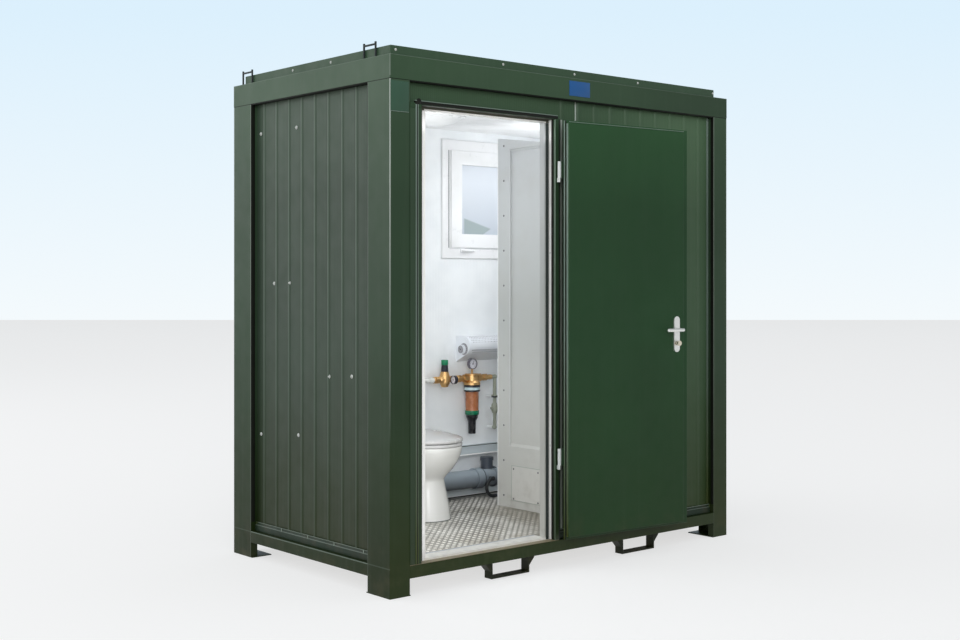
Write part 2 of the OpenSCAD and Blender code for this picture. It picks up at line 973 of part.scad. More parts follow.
// Moulded panel to the right of the doorway, with a sunk field over a sloping ledge
module side_panel() {
    top = panel_z1 - panel_fall;
    field_z0 = floor_z + field_foot;
    field_z1 = top - field_top_gap;
    color(grey)
        difference() {
            along_x(panel_x, panel_x + panel_t)
                polygon([[panel_y0, floor_z], [panel_y1, floor_z], [panel_y1, panel_z1],
                         [panel_y1 - panel_fall_l, top], [panel_y0, top]]);
            along_y(panel_y0 + field_near, panel_y1 - field_far)
                polygon([[panel_x - 1, field_z0], [panel_x, field_z0],
                         [panel_x + field_depth, field_z0 + field_slope],
                         [panel_x + field_depth, field_z1 - field_slope],
                         [panel_x, field_z1], [panel_x - 1, field_z1]]);
        }
}

// Screwed cover with round corners, on the panel's foot
module access_cover() {
    color(grey)
        translate([panel_x - cover_t, panel_y1 - cover_far - cover_l, floor_z + cover_rise])
            rotate([90, 0, 90])
                linear_extrude(cover_t)
                    rounded(cover_l, cover_h, cover_r);
}

// A rectangle from the origin with round corners
module rounded(w, h, r) {
    translate([r, 0])
        square([w - 2 * r, h]);
    translate([0, r])
        square([w, h - 2 * r]);
    for (x = [r, w - r], y = [r, h - r])
        translate([x, y])
            circle(r = r);
}

// Plan of the pan, seat and lid: a round front and a straight back at y = back
module toilet_outline(inset, back) {
    r = pan_w / 2 - inset;
    translate([toilet_x, bowl_y]) {
        circle(r = r);
        translate([-r, 0])
            square([2 * r, back - bowl_y]);
    }
}

// A thin slice of that plan
module toilet_slice(z, inset, back) {
    translate([0, 0, z])
        linear_extrude(eps)
            toilet_outline(inset, back);
}

// Slice of the bowl, t from 0 at the waist to 1 under the rim, along a quarter of an oval
module bowl_slice(t) {
    turn = 70 * (1 - t);
    inset = bowl_draw * (1 - cos(turn)) / (1 - cos(70));
    toilet_slice(waist_z + (rim_z - rim_band - waist_z) * (1 - sin(turn) / sin(70)),
                 inset, pan_back - inset);
}

// Oval slice of the pedestal, with its back where the pan ends
module pedestal_slice(z, w, len) {
    back = pan_back - bowl_draw;
    translate([toilet_x, 0, z])
        for (y = [back - len + w / 2, back - w / 2])
            translate([0, y, 0])
                cylinder(d = w, h = eps, $fn = 32);
}

module toilet_pan() {
    steps = 5;
    bowl_floor = 30;
    shin_z = floor_z + waist_h * 0.4;
    shin_w = (waist_w + foot_w) * 0.48;
    color(white)
        difference() {
            union() {
                hull() {
                    toilet_slice(rim_z - rim_band, 0, pan_back);
                    toilet_slice(rim_z - eps, 0, pan_back);
                }
                for (i = [1 : steps])
                    hull() {
                        bowl_slice((i - 1) / steps);
                        bowl_slice(i / steps);
                    }
                hull() {
                    pedestal_slice(waist_z + bowl_floor / 2, waist_w, foot_l * 0.85);
                    pedestal_slice(shin_z, shin_w, foot_l * 0.88);
                }
                hull() {
                    pedestal_slice(shin_z, shin_w, foot_l * 0.88);
                    pedestal_slice(floor_z, foot_w, foot_l);
                }
                translate([toilet_x, pan_back, drain_z])
                    rotate([90, 0, 0])
                        cylinder(d = drain_d * 0.9, h = pan_back - bowl_y);
            }
            hull() {
                toilet_slice(rim_z + eps, rim_w, lid_axis_y - 2 * lid_back);
                toilet_slice(rim_z - rim_band, rim_w, lid_axis_y - 2 * lid_back);
                toilet_slice(waist_z + bowl_floor, pan_w / 2 - 2 * bowl_floor, bowl_y + 2 * rim_w);
            }
        }
}

// Seat ring with the two ears and the rod that carry the lid
module toilet_seat() {
    ear_d = lid_t;
    color(white)
        union() {
            translate([0, 0, rim_z])
                linear_extrude(seat_t)
                    difference() {
                        toilet_outline(-seat_out, pan_back - lid_back / 4);
                        toilet_outline(rim_w + seat_in, lid_axis_y - 2 * lid_back);
                    }
            for (x = [-lid_tongue / 2 - ear_w - 1, lid_tongue / 2 + 1])
                translate([toilet_x + x, lid_axis_y - ear_d / 2, rim_z])
                    cube([ear_w, ear_d, lid_axis_z - rim_z + ear_d / 2]);
            lid_rod(pin_d, lid_tongue + 2 * ear_w);
        }
}

// Round bar along the lid's hinge axis
module lid_rod(d, len) {
    translate([toilet_x - len / 2, lid_axis_y, lid_axis_z])
        rotate([0, 90, 0])
            cylinder(d = d, h = len);
}

// Domed lid with a tongue that turns on the seat's rod
module toilet_lid() {
    back = lid_axis_y - lid_t;
    color(white)
        difference() {
            union() {
                hull() {
                    toilet_slice(lid_z, -seat_out, back);
                    toilet_slice(lid_z + lid_t * 0.75, -seat_out, back);
                    toilet_slice(lid_z + lid_t, 4, back);
                    toilet_slice(lid_z + lid_t + lid_dome * 0.75, pan_w / 6, back - pan_w / 6);
                    toilet_slice(lid_z + lid_t + lid_dome, pan_w / 3, back - pan_w / 3);
                }
                block([toilet_x - lid_tongue / 2, back - eps, lid_z],
                      [toilet_x + lid_tongue / 2, lid_axis_y, lid_z + lid_t]);
                lid_rod(lid_t, lid_tongue);
            }
            lid_rod(pin_d + 2 * pin_gap, lid_tongue + 2);
        }
}

// Wall cistern with its cover, and its flush pipe to the back of the pan
module toilet_cistern() {
    z0 = floor_z + cistern_rise;
    cover = 24;
    edge = 5;
    pipe_y = wall_iy - cistern_d / 2;
    pipe_z = rim_z - rim_band;
    color(white)
        union() {
            block([toilet_x - cistern_w / 2 + edge, wall_iy - cistern_d + edge, z0],
                  [toilet_x + cistern_w / 2 - edge, wall_iy, z0 + cistern_h - cover]);
            block([toilet_x - cistern_w / 2, wall_iy - cistern_d, z0 + cistern_h - cover],
                  [toilet_x + cistern_w / 2, wall_iy, z0 + cistern_h]);
            translate([toilet_x, pipe_y, pipe_z]) {
                cylinder(d = flush_d, h = z0 - pipe_z + eps);
                sphere(d = flush_d);
                rotate([90, 0, 0])
                    cylinder(d = flush_d, h = pipe_y - pan_back);
            }
        }
}

// Heater case with a round front and an end cap at each end
module heater() {
    cap_out = 2;
    color(white)
        union() {
            heater_length(heater_x + heater_cap - eps, heater_l - 2 * heater_cap + 2 * eps, cap_out);
            heater_length(heater_x, heater_cap, 0);
            heater_length(heater_x + heater_l - heater_cap, heater_cap, 0);
        }
}

module heater_length(x, len, inset) {
    translate([x, wall_iy, heater_z])
        rotate([90, 0, 90])
            linear_extrude(len)
                heater_section(inset);
}

// Side of the heater: flat back and top, round front, underside that slants down to the wall
module heater_section(inset) {
    r = heater_h * 0.36;
    in_r = r - inset;
    mid = [-heater_d + r, heater_h - r];
    foot = [0, inset];
    reach = norm(mid - foot);
    slant = atan2(mid.y - foot.y, mid.x - foot.x) + asin(in_r / reach);
    touch = foot + sqrt(reach * reach - in_r * in_r) * [cos(slant), sin(slant)];
    translate(mid)
        circle(r = in_r, $fn = 64);
    polygon([foot, [0, heater_h - inset], [mid.x, heater_h - inset], mid, touch]);
}

// Dial with a grip across it, on the heater's left end
module heater_dial() {
    grip_w = dial_d / 5;
    color(white)
        translate([heater_x, wall_iy - heater_d / 2, heater_z + heater_h / 2])
            rotate([0, -90, 0])
                union() {
                    cylinder(d = dial_d, h = dial_h / 2);
                    cylinder(d = dial_d * 0.75, h = dial_h * 0.75);
                    translate([-dial_d * 0.35, -grip_w / 2, 0])
                        cube([dial_d * 0.7, grip_w, dial_h]);
                }
}

// Round lamp: a flat base on the ceiling and a shallow dome under it
module ceiling_lamp() {
    base = lamp_h / 4;
    dome_h = lamp_h - base;
    dome_r = (pow(lamp_d / 2 - base, 2) + dome_h * dome_h) / (2 * dome_h);
    color(white)
        translate([-wall_ix + lamp_side, wall_iy - lamp_back, ceiling_z])
            union() {
                translate([0, 0, -base])
                    cylinder(d = lamp_d, h = base);
                intersection() {
                    translate([0, 0, -base - dome_h + dome_r])
                        sphere(r = dome_r);
                    translate([0, 0, -lamp_h])
                        cylinder(d = lamp_d, h = dome_h + eps);
                }
            }
}

// Bar along X on the water line
module water_bar(x0, x1, d) {
    translate([x0, water_y, water_z])
        rotate([0, 90, 0])
            cylinder(d = d, h = x1 - x0);
}

// Six-sided union nut on the water line
module union_nut(x0, x1, d) {
    translate([x0, water_y, water_z])
        rotate([0, 90, 0])
            cylinder(d = d, h = x1 - x0, $fn = 6);
}

// White pipe out of the wall, with welded sleeves
module water_pipe() {
    sleeve = 28;
    x0 = cistern_x1 + pipe_gap;
    x1 = reducer_x - 1.5 * reducer_d;
    color(white)
        union() {
            water_bar(x0, x1, water_d);
            water_bar(x1 - sleeve, x1, water_d * 1.28);
            translate([x0, water_y, water_z])
                rotate(225)
                    sphere(d = water_d * 1.28);
            translate([x0, wall_iy, water_z])
                rotate([90, 0, 0])
                    cylinder(d = water_d, h = water_off);
        }
}

// Brass body with union nuts, a spring bonnet and its cap
module pressure_reducer() {
    nut_d = water_d * 1.6;
    x0 = reducer_x - 1.5 * reducer_d;
    x1 = filter_x - head_d * 0.7;
    body_h = reducer_d * 0.76;
    cap_r = reducer_d * 0.33;
    color(brass)
        union() {
            water_bar(x0, x1, water_d * 1.2);
            union_nut(x0, x0 + nut_d * 0.6, nut_d);
            union_nut(x1 - nut_d, x1 - nut_d * 0.4, nut_d);
            translate([reducer_x, water_y, water_z])
                rotate_extrude()
                    polygon([[0, -body_h], [reducer_d * 0.3, -body_h], [reducer_d * 0.38, -body_h * 0.7],
                             [reducer_d / 2, -body_h * 0.5], [reducer_d / 2, body_h * 0.8],
                             [reducer_d * 0.38, body_h], [reducer_d * 0.37, reducer_h * 0.74],
                             [cap_r, reducer_h * 0.75], [cap_r, reducer_h], [0, reducer_h]]);
        }
}

// Brass head of the filter: a bell under a neck, with a union nut at either side
module filter_head() {
    nut_d = water_d * 1.9;
    r = head_d / 2;
    color(brass)
        union() {
            translate([filter_x, water_y, water_z])
                rotate_extrude()
                    polygon([[0, -r * 0.8], [r, -r * 0.8], [r, -r * 0.55], [r * 0.78, -r * 0.3],
                             [r * 0.74, r * 0.36], [r * 0.88, r * 0.4], [r * 0.88, r * 0.5], [0, r * 0.5]]);
            water_bar(filter_x - head_d * 0.7, filter_x + drop_gap - 1.5 * drop_d, water_d * 1.2);
            union_nut(filter_x - head_d * 0.7, filter_x - r * 0.7, nut_d);
            union_nut(filter_x + r * 0.7, filter_x + head_d * 0.7, nut_d);
            union_nut(filter_x + head_d * 0.85, filter_x + head_d * 1.15, nut_d * 0.85);
        }
}

// Clamp ring, clear cup, foot ring and flushing tube of the filter
module filter_cup() {
    r = cup_d / 2;
    clamp_r = head_d * 0.53;
    clamp_h = head_d * 0.42;
    ring_h = cup_d * 0.28;
    neck_h = cup_d * 0.4;
    tube_r = cup_d * 0.29;
    top = -head_d * 0.4;
    cup_z1 = top - clamp_h;
    cup_z0 = cup_z1 - cup_l;
    neck_z1 = cup_z0 - ring_h;
    tube_z1 = neck_z1 - neck_h;
    color("peru")
        translate([filter_x, water_y, water_z])
            rotate_extrude()
                polygon([[0, top], [clamp_r, top], [clamp_r, top - clamp_h * 0.3],
                         [clamp_r * 0.95, top - clamp_h * 0.36], [clamp_r * 0.95, top - clamp_h * 0.66],
                         [clamp_r, top - clamp_h * 0.72], [clamp_r, cup_z1], [r * 1.04, cup_z1],
                         [r, cup_z0], [r * 1.06, cup_z0], [r * 1.06, neck_z1], [r * 0.96, neck_z1],
                         [r * 0.9, neck_z1 - neck_h * 0.5], [tube_r, tube_z1],
                         [tube_r, tube_z1 - tube_l], [0, tube_z1 - tube_l]]);
}

// Case of a gauge on the origin, with its dial sunk in a bezel that faces +Z
module gauge_case(d, h) {
    rotate_extrude()
        polygon([[0, 0], [d * 0.42, 0], [d / 2, h * 0.2], [d / 2, h], [d * 0.44, h],
                 [d * 0.44, h * 0.82], [0, h * 0.82]]);
}

// Filter gauge on the head, facing the door, and reducer gauge, facing the left wall
module gauges() {
    case_h = gauge_d * 0.4;
    stem_d = 14;
    gauge_z = water_z + head_d / 4 + gauge_rise;
    small_x = reducer_x + 0.64 * reducer_d;
    small_y = water_y - water_d * 0.6 - slit - small_gauge_d / 2 - 6;
    small_h = small_gauge_d * 0.5;
    color("white") {
        union() {
            translate([filter_x, water_y, water_z + head_d / 4])
                cylinder(d = stem_d, h = gauge_rise - gauge_d * 0.45);
            translate([filter_x, water_y + case_h / 2, gauge_z])
                rotate([90, 0, 0])
                    gauge_case(gauge_d, case_h);
        }
        union() {
            translate([small_x, water_y - water_d * 0.6 - slit, water_z])
                rotate([90, 0, 0])
                    cylinder(d = stem_d, h = small_gauge_d * 0.2);
            translate([small_x + small_h / 2, small_y, water_z])
                rotate([0, -90, 0])
                    gauge_case(small_gauge_d, small_h);
        }
    }
}

// Pipe from the filter down the wall, with an elbow at either end, a clip and a valve
module drop_pipe() {
    foot_z = water_z - drop_l;
    valve_z = foot_z + drop_l * 0.28;
    valve_h = drop_l * 0.2;
    clip_w = 12;
    color(grey)
        union() {
            water_bar(filter_x + drop_gap - 1.5 * drop_d, drop_x, drop_d * 1.3);
            translate([drop_x, water_y, water_z])
                sphere(d = drop_d * 1.5);
            translate([drop_x, water_y, foot_z]) {
                cylinder(d = drop_d, h = drop_l);
                sphere(d = drop_d * 1.3);
            }
            translate([drop_x, wall_iy, foot_z])
                rotate([90, 0, 0])
                    cylinder(d = drop_d, h = water_off);
            translate([drop_x, water_y, valve_z])
                rotate_extrude()
                    polygon([[0, 0], [drop_d * 0.7, 0], [drop_d, valve_h * 0.25], [drop_d, valve_h * 0.75],
                             [drop_d * 0.7, valve_h], [0, valve_h]]);
            translate([drop_x, water_y, valve_z + valve_h / 2])
                rotate([0, -90, 0])
                    cylinder(d = drop_d * 0.8, h = drop_d * 1.5);
            translate([drop_x - drop_d * 0.7, water_y - drop_d * 0.7, foot_z + drop_l * 0.6])
                cube([drop_d * 1.4, water_off + drop_d * 0.7, clip_w]);
        }
}

// Drain from the pan along the wall to a tee with an upright branch
module drain_pipe() {
    socket_d = drain_d * 1.13;
    socket_l = drain_d * 0.5;
    tee_l = branch_d * 1.5;
    branch_x = drain_end + tee_l / 2;
    color("slategray")
        union() {
            translate([toilet_x, drain_y, drain_z]) {
                sphere(d = drain_d);
                rotate([90, 0, 0])
                    cylinder(d = drain_d, h = drain_y - pan_back);
            }
            drain_bar(toilet_x, drain_end + tee_l, drain_d);
            drain_bar(drain_end - socket_l, drain_end, socket_d);
            drain_bar(drain_end + tee_l - socket_l / 3, drain_end + tee_l, socket_d);
            translate([branch_x, drain_y, drain_z])
                cylinder(d = branch_d, h = branch_h);
            translate([branch_x, drain_y, drain_z + branch_h * 0.84])
                cylinder(d = branch_d * 1.12, h = branch_h * 0.16);
        }
}

module drain_bar(x0, x1, d) {
    translate([x0, drain_y, drain_z])
        rotate([0, 90, 0])
            cylinder(d = d, h = x1 - x0);
}

// Hose from the front of the tee in a bow down to the floor, and along it to a floor elbow
module waste_hose() {
    bow_x = drain_end + branch_d * 0.45;
    bow_y = drain_y - drain_d / 2 - 1.5 * hose_d;
    bow_z = floor_z + hose_r + hose_d / 2;
    run = 130;
    elbow_d = hose_d * 1.3;
    color("#26282b")
        union() {
            translate([bow_x, bow_y, bow_z])
                rotate([90, 0, 0])
                    rotate(90)
                        rotate_extrude(angle = 180)
                            translate([hose_r, 0])
                                circle(d = hose_d);
            translate([bow_x, bow_y, bow_z + hose_r])
                sphere(d = elbow_d);
            translate([bow_x, drain_y - drain_d / 2 - slit, bow_z + hose_r])
                rotate([90, 0, 0])
                    cylinder(d = hose_d, h = 1.5 * hose_d - slit);
            translate([bow_x, bow_y, floor_z + hose_d / 2])
                rotate([0, 90, 0])
                    cylinder(d = hose_d, h = run);
            translate([bow_x + run, bow_y, floor_z])
                cylinder(d = elbow_d, h = hose_d * 1.2);
        }
}

// Cable trunking with its lid edge, and skirting, along the back wall
module wall_trunking() {
    z0 = floor_z + trunk_rise;
    z1 = z0 + trunk_h;
    lip = 3;
    lid_y = wall_iy - trunk_d;
    base_y = lid_y + lip;
    color(grey) {
        along_x(-wall_ix, wall_ix)
            polygon([[wall_iy, z0], [base_y, z0], [base_y, z0 + 2 * lip], [lid_y, z0 + 3 * lip],
                     [lid_y, z1 - 3 * lip], [base_y, z1 - 2 * lip], [base_y, z1], [wall_iy, z1]]);
        block([-wall_ix, wall_iy - skirting_t, floor_z], [wall_ix, wall_iy, floor_z + skirting_h]);
    }
}

corner_posts();
floor_rails_long();
floor_rails_short();
roof_rails_long();
roof_rails_short();
roof_sheet();
roof_lugs();
fork_loops();
floor_deck();
ceiling_board();
left_wall();
right_wall();
back_wall_left();
back_wall_right();
front_wall_edge();
front_wall_over_door();
front_wall_beside_door();
front_wall_right();
base_flashings();
door_jambs();
door_head();
door_threshold();
door_leaf();
hinge_frame_halves();
hinge_door_halves();
lock_plates();
door_lever();
thumb_turn();
window_frame();
window_sash();
window_glass();
window_handle();
side_panel();
access_cover();
toilet_pan();
toilet_seat();
toilet_lid();
toilet_cistern();
heater();
heater_dial();
ceiling_lamp();
water_pipe();
pressure_reducer();
filter_head();
filter_cup();
gauges();
drop_pipe();
drain_pipe();
waste_hose();
wall_trunking();
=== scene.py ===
import math

import bpy
import bmesh
from mathutils import Matrix, Vector


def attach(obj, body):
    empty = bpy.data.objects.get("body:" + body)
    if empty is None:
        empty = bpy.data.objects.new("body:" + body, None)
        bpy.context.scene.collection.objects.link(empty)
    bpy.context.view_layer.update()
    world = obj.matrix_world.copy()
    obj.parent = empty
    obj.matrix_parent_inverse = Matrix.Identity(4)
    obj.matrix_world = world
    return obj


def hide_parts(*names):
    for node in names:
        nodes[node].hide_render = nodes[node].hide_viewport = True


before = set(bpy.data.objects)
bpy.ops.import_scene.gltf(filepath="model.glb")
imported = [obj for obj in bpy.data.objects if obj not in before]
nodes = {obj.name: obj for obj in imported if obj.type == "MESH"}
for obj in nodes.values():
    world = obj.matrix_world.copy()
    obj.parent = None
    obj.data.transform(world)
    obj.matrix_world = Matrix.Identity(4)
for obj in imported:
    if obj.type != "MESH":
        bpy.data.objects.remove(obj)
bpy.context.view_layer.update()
scene = bpy.context.scene
scene.view_settings.view_transform = "Standard"
print("frame loaded,", len(nodes), "nodes")

viewPoint = {
    "place": (-4.8622, -5.625, 1.4671),
    "turn": -40.48,  # degrees about the upright axis
    "lens": 50.25,
    "lower": -0.0427,  # shift that puts the eye level above the middle of the frame
}

studio = {
    "floorTone": "#f2f2f2",
    "skyHigh": "#dcf0fd",
    "skyLow": "#f4fafd",
    "reach": 48.0,  # how far the floor runs before the backdrop stands
    "behind": 40.0,
    "halfWidth": 70.0,
    "height": 40.0,
    "worldLight": 0.55,
    "sideBox": 385.0,  # this and the lamps after it in W
    "frontBox": 700.0,
    "ribBox": 60.0,
    "roomLamp": 6.7,
    "nearLamp": 3.5,
    "doorFill": 6.0,
    "panelFill": 2.4,
    "headStrip": 0.42,
    "lockStrip": 0.24,
}


def tone(code):  # hex colour as a linear value
    parts = [int(code[i:i + 2], 16) / 255 for i in (1, 3, 5)]
    return tuple(c / 12.92 if c <= 0.04045 else ((c + 0.055) / 1.055) ** 2.4 for c in parts) + (1.0,)


class Graph:  # a node tree and short ways to its nodes
    def feed(self, socket, value):
        if isinstance(value, bpy.types.NodeSocket):
            self.tree.links.new(value, socket)
        elif isinstance(value, str) and value.startswith("#"):
            socket.default_value = tone(value)
        else:
            socket.default_value = value

    def node(self, kind, sockets=None, **props):
        made = self.tree.nodes.new(kind)
        for key, value in props.items():
            setattr(made, key, value)
        for key, value in (sockets or {}).items():
            self.feed(made.inputs[key], value)
        return made

    def put(self, kind, sockets=None, **props):  # a node's first output
        return self.node(kind, sockets, **props).outputs[0]


class Finish(Graph):  # one procedural material
    def __init__(self, name):
        self.mat = bpy.data.materials.new(name)
        self.mat.use_nodes = True
        self.tree = self.mat.node_tree
        self.tree.nodes.clear()
        out = self.tree.nodes.new("ShaderNodeOutputMaterial")
        self.surf = self.tree.nodes.new("ShaderNodeBsdfPrincipled")
        self.tree.links.new(self.surf.outputs[0], out.inputs[0])
        self.place = self.tree.nodes.new("ShaderNodeTexCoord").outputs["Object"]
        self.x, self.y, self.z = self.node("ShaderNodeSeparateXYZ", {"Vector": self.place}).outputs

    def noise(self, scale, detail, stretch=None):
        spot = self.place
        if stretch:
            spot = self.put("ShaderNodeMapping", {"Vector": spot, "Scale": stretch})
        sockets = {"Vector": spot, "Scale": scale, "Detail": detail}
        return self.put("ShaderNodeTexNoise", sockets)

    def span(self, value, low, high, start=0.0, end=1.0):  # value from low..high to start..end
        sockets = {"Value": value, "From Min": low, "From Max": high, "To Min": start, "To Max": end}
        return self.put("ShaderNodeMapRange", sockets)

    def calc(self, kind, a, b=0.0):
        return self.put("ShaderNodeMath", {0: a, 1: b}, operation=kind)

    def times(self, value, *more):
        for factor in more:
            value = self.calc("MULTIPLY", value, factor)
        return value

    def plus(self, a, b):
        return self.calc("ADD", a, b)

    def less(self, a, b):
        return self.calc("SUBTRACT", a, b)

    def above(self, value, bound):
        return self.calc("GREATER_THAN", value, bound)

    def below(self, value, bound):
        return self.calc("LESS_THAN", value, bound)

    def mix(self, share, a, b, kind="MIX"):
        made = self.node("ShaderNodeMix", data_type="RGBA", blend_type=kind)
        for index, value in ((0, share), (6, a), (7, b)):
            self.feed(made.inputs[index], value)
        return made.outputs[2]

    def within(self, value, low, high):  # 1 between the two bounds
        return self.times(self.above(value, low), self.below(value, high))

    def bump(self, height, strength, distance=0.001, under=None):
        sockets = {"Height": height, "Strength": strength, "Distance": distance}
        if under:
            sockets["Normal"] = under
        return self.put("ShaderNodeBump", sockets)

    def vary(self, scale, detail, low, high):  # wanders between low and high
        return self.span(self.noise(scale, detail), 0.3, 0.7, low, high)

    def patch(self, scale, detail, low, high, share):  # soft blotches, up to share
        return self.times(self.span(self.noise(scale, detail), low, high), share)

    def grain(self, scale, detail, strength, distance):  # fine bump
        return self.bump(self.noise(scale, detail), strength, distance)

    def satin(self, colour, low, high, specular=0.45, speck=30, pores=180, strength=0.06):  # half-dull face
        shine = self.vary(speck, 3, low, high)
        return self.wear(base=colour, rough=shine, specular=specular,
                         normal=self.grain(pores, 2, strength, 0.0005))

    def wear(self, **sockets):  # sets the surface and gives the material back
        names = {"base": "Base Color", "rough": "Roughness", "metal": "Metallic", "normal": "Normal",
                 "specular": "Specular IOR Level", "glow": "Emission Color", "glowPower": "Emission Strength"}
        for key, value in sockets.items():
            self.feed(self.surf.inputs[names[key]], value)
        return self.mat


steelLines = {  # faces and heights of the steel frame, m
    "corner": 1.8955,  # x and y together beyond this lie on a post's outer corner
    "postTop": 2.387,
    "innerTop": 2.385,
    "railFoot": 2.40,
    "railLine": 2.389,
    "railSeam": (2.3855, 2.3885),
    "roofEdge": 2.4965,
    "innerX": (1.0845, 1.0885),  # edges of the posts towards the panels
    "innerY": (0.5235, 0.5295),
    "endFace": 0.699,
    "sideFace": 1.199,
    "leftFace": -1.198,
    "frontFace": -0.699,
    "ledge": (0.1345, 0.1405),  # upper edge of the floor rails
    "ledgeFace": 1.1985,
}


def edgeHighlightsAndJoints(f, colour):  # painted highlights on the frame's edges, painted sheen and shade on its faces, and dark joints
    at = steelLines
    side, end = f.calc("ABSOLUTE", f.x), f.calc("ABSOLUTE", f.y)
    # painted highlight along the posts' outer corners, strongest high up
    corner = f.above(f.plus(side, end), at["corner"])
    lower = f.times(f.below(f.z, at["postTop"]), f.span(f.z, 0.7, 2.0, 0.0, 0.85))
    upper = f.times(f.above(f.z, at["railFoot"]), 0.22)
    colour = f.mix(f.times(corner, f.plus(lower, upper)), colour, "#c9d2cc")
    # painted highlights along the posts' inner edges
    post = f.below(f.z, at["innerTop"])
    inner = f.times(f.within(f.x, *at["innerX"]), f.above(end, at["endFace"]), post)
    colour = f.mix(f.times(inner, f.span(f.z, 0.3, 1.6, 0.1, 0.5)), colour, "#b4beb6")
    inner = f.times(f.within(end, *at["innerY"]), f.above(side, at["sideFace"]), post)
    colour = f.mix(f.times(inner, f.span(f.z, 0.3, 1.6, 0.15, 0.5)), colour, "#b4beb6")
    # painted highlight along the roof's top edge
    colour = f.mix(f.times(f.above(f.z, at["roofEdge"]), 0.3), colour, "#8b998e")
    # painted sheen: the left side lighter towards the top
    left = f.times(f.below(f.x, at["leftFace"]), f.span(f.z, 1.0, 2.45, 0.0, 0.1))
    colour = f.mix(left, colour, "#9fb0a5")
    front = f.below(f.y, at["frontFace"])
    # painted shade: the front roof rail darker towards the right
    far = f.times(front, f.above(f.z, at["railLine"]), f.span(f.x, 0.0, 0.7, 0.0, 0.3))
    colour = f.mix(far, colour, "#0f1a10")
    # painted ground bounce: an olive cast low on the front faces
    colour = f.mix(f.times(front, f.span(f.z, 0.25, 0.9, 0.25, 0.0)), colour, "#46552f")
    # painted highlight along the floor rails' upper edge
    ledge = f.times(f.within(f.z, *at["ledge"]), f.above(side, at["ledgeFace"]))
    colour = f.mix(f.times(ledge, f.span(end, 0.524, 0.526, 0.55, 0.15)), colour, "#8b998e")
    return f.mix(f.within(f.z, *at["railSeam"]), colour, "#0e120d")


ribLines = {"pitch": 0.119, "crest": 0.003, "foot": 0.0135}  # m, the lines lie to either side of a rib's middle


def ribHighlightsAndShade(f, colour, axis, start, share):  # painted highlight on the crest and painted shade at the foot of each rib, both fading towards the bottom
    pitch = ribLines["pitch"]
    along = f.plus(getattr(f, axis), 1.5 * pitch - start + 20 * pitch)
    phase = f.less(f.calc("MODULO", along, pitch), pitch / 2)
    crest = f.calc("ABSOLUTE", f.plus(phase, ribLines["crest"]))
    foot = f.calc("ABSOLUTE", f.less(phase, ribLines["foot"]))
    rise = f.span(f.z, 0.25, 1.5, 0.3, 1.0)
    colour = f.mix(f.times(f.span(crest, 0.003, 0.009, share, 0.0), rise), colour, "#76877a")
    return f.mix(f.times(f.span(foot, 0.002, 0.007, share, 0.0), rise), colour, "#232b22")


rebate = {  # faces of the doorway, m
    "stop": (-0.6577, -0.6563),  # the leaf shuts on it and the lining lies behind it
    "lockSide": -0.9,
    "liningStart": -0.9795,
    "hingeX": (-0.1605, -0.1575),  # outer corner on the hinge side
    "hingeY": (-0.7035, -0.6965),
    "soffitZ": (2.2762, 2.2785),
    "soffitY": (-0.7025, -0.6577),
}


def rebateLiningAndShade(f, colour, lining, stop, lockShare):  # lining and stop faces of the doorway, with painted shade on the lock-side stop and under the head and a painted highlight on the hinge-side corner
    face = f.within(f.y, *rebate["stop"])
    colour = f.mix(f.above(f.y, rebate["stop"][1]), colour, lining)
    colour = f.mix(face, colour, stop)
    # painted shade on the lock-side stop, white lining beyond it
    lock = f.times(face, f.below(f.x, rebate["lockSide"]))
    shade = f.mix(f.above(f.x, rebate["liningStart"]), "#333b31", "#ffffff")
    colour = f.mix(f.times(lock, lockShare), colour, shade)
    # painted highlight on the hinge side's outer corner, stronger higher up
    corner = f.times(f.within(f.x, *rebate["hingeX"]), f.within(f.y, *rebate["hingeY"]))
    colour = f.mix(f.times(corner, f.span(f.z, 0.8, 2.0, 0.2, 0.6)), colour, "#8fa294")
    # painted shade under the head
    soffit = f.times(f.within(f.z, *rebate["soffitZ"]), f.within(f.y, *rebate["soffitY"]))
    return f.mix(soffit, colour, "#30312b")


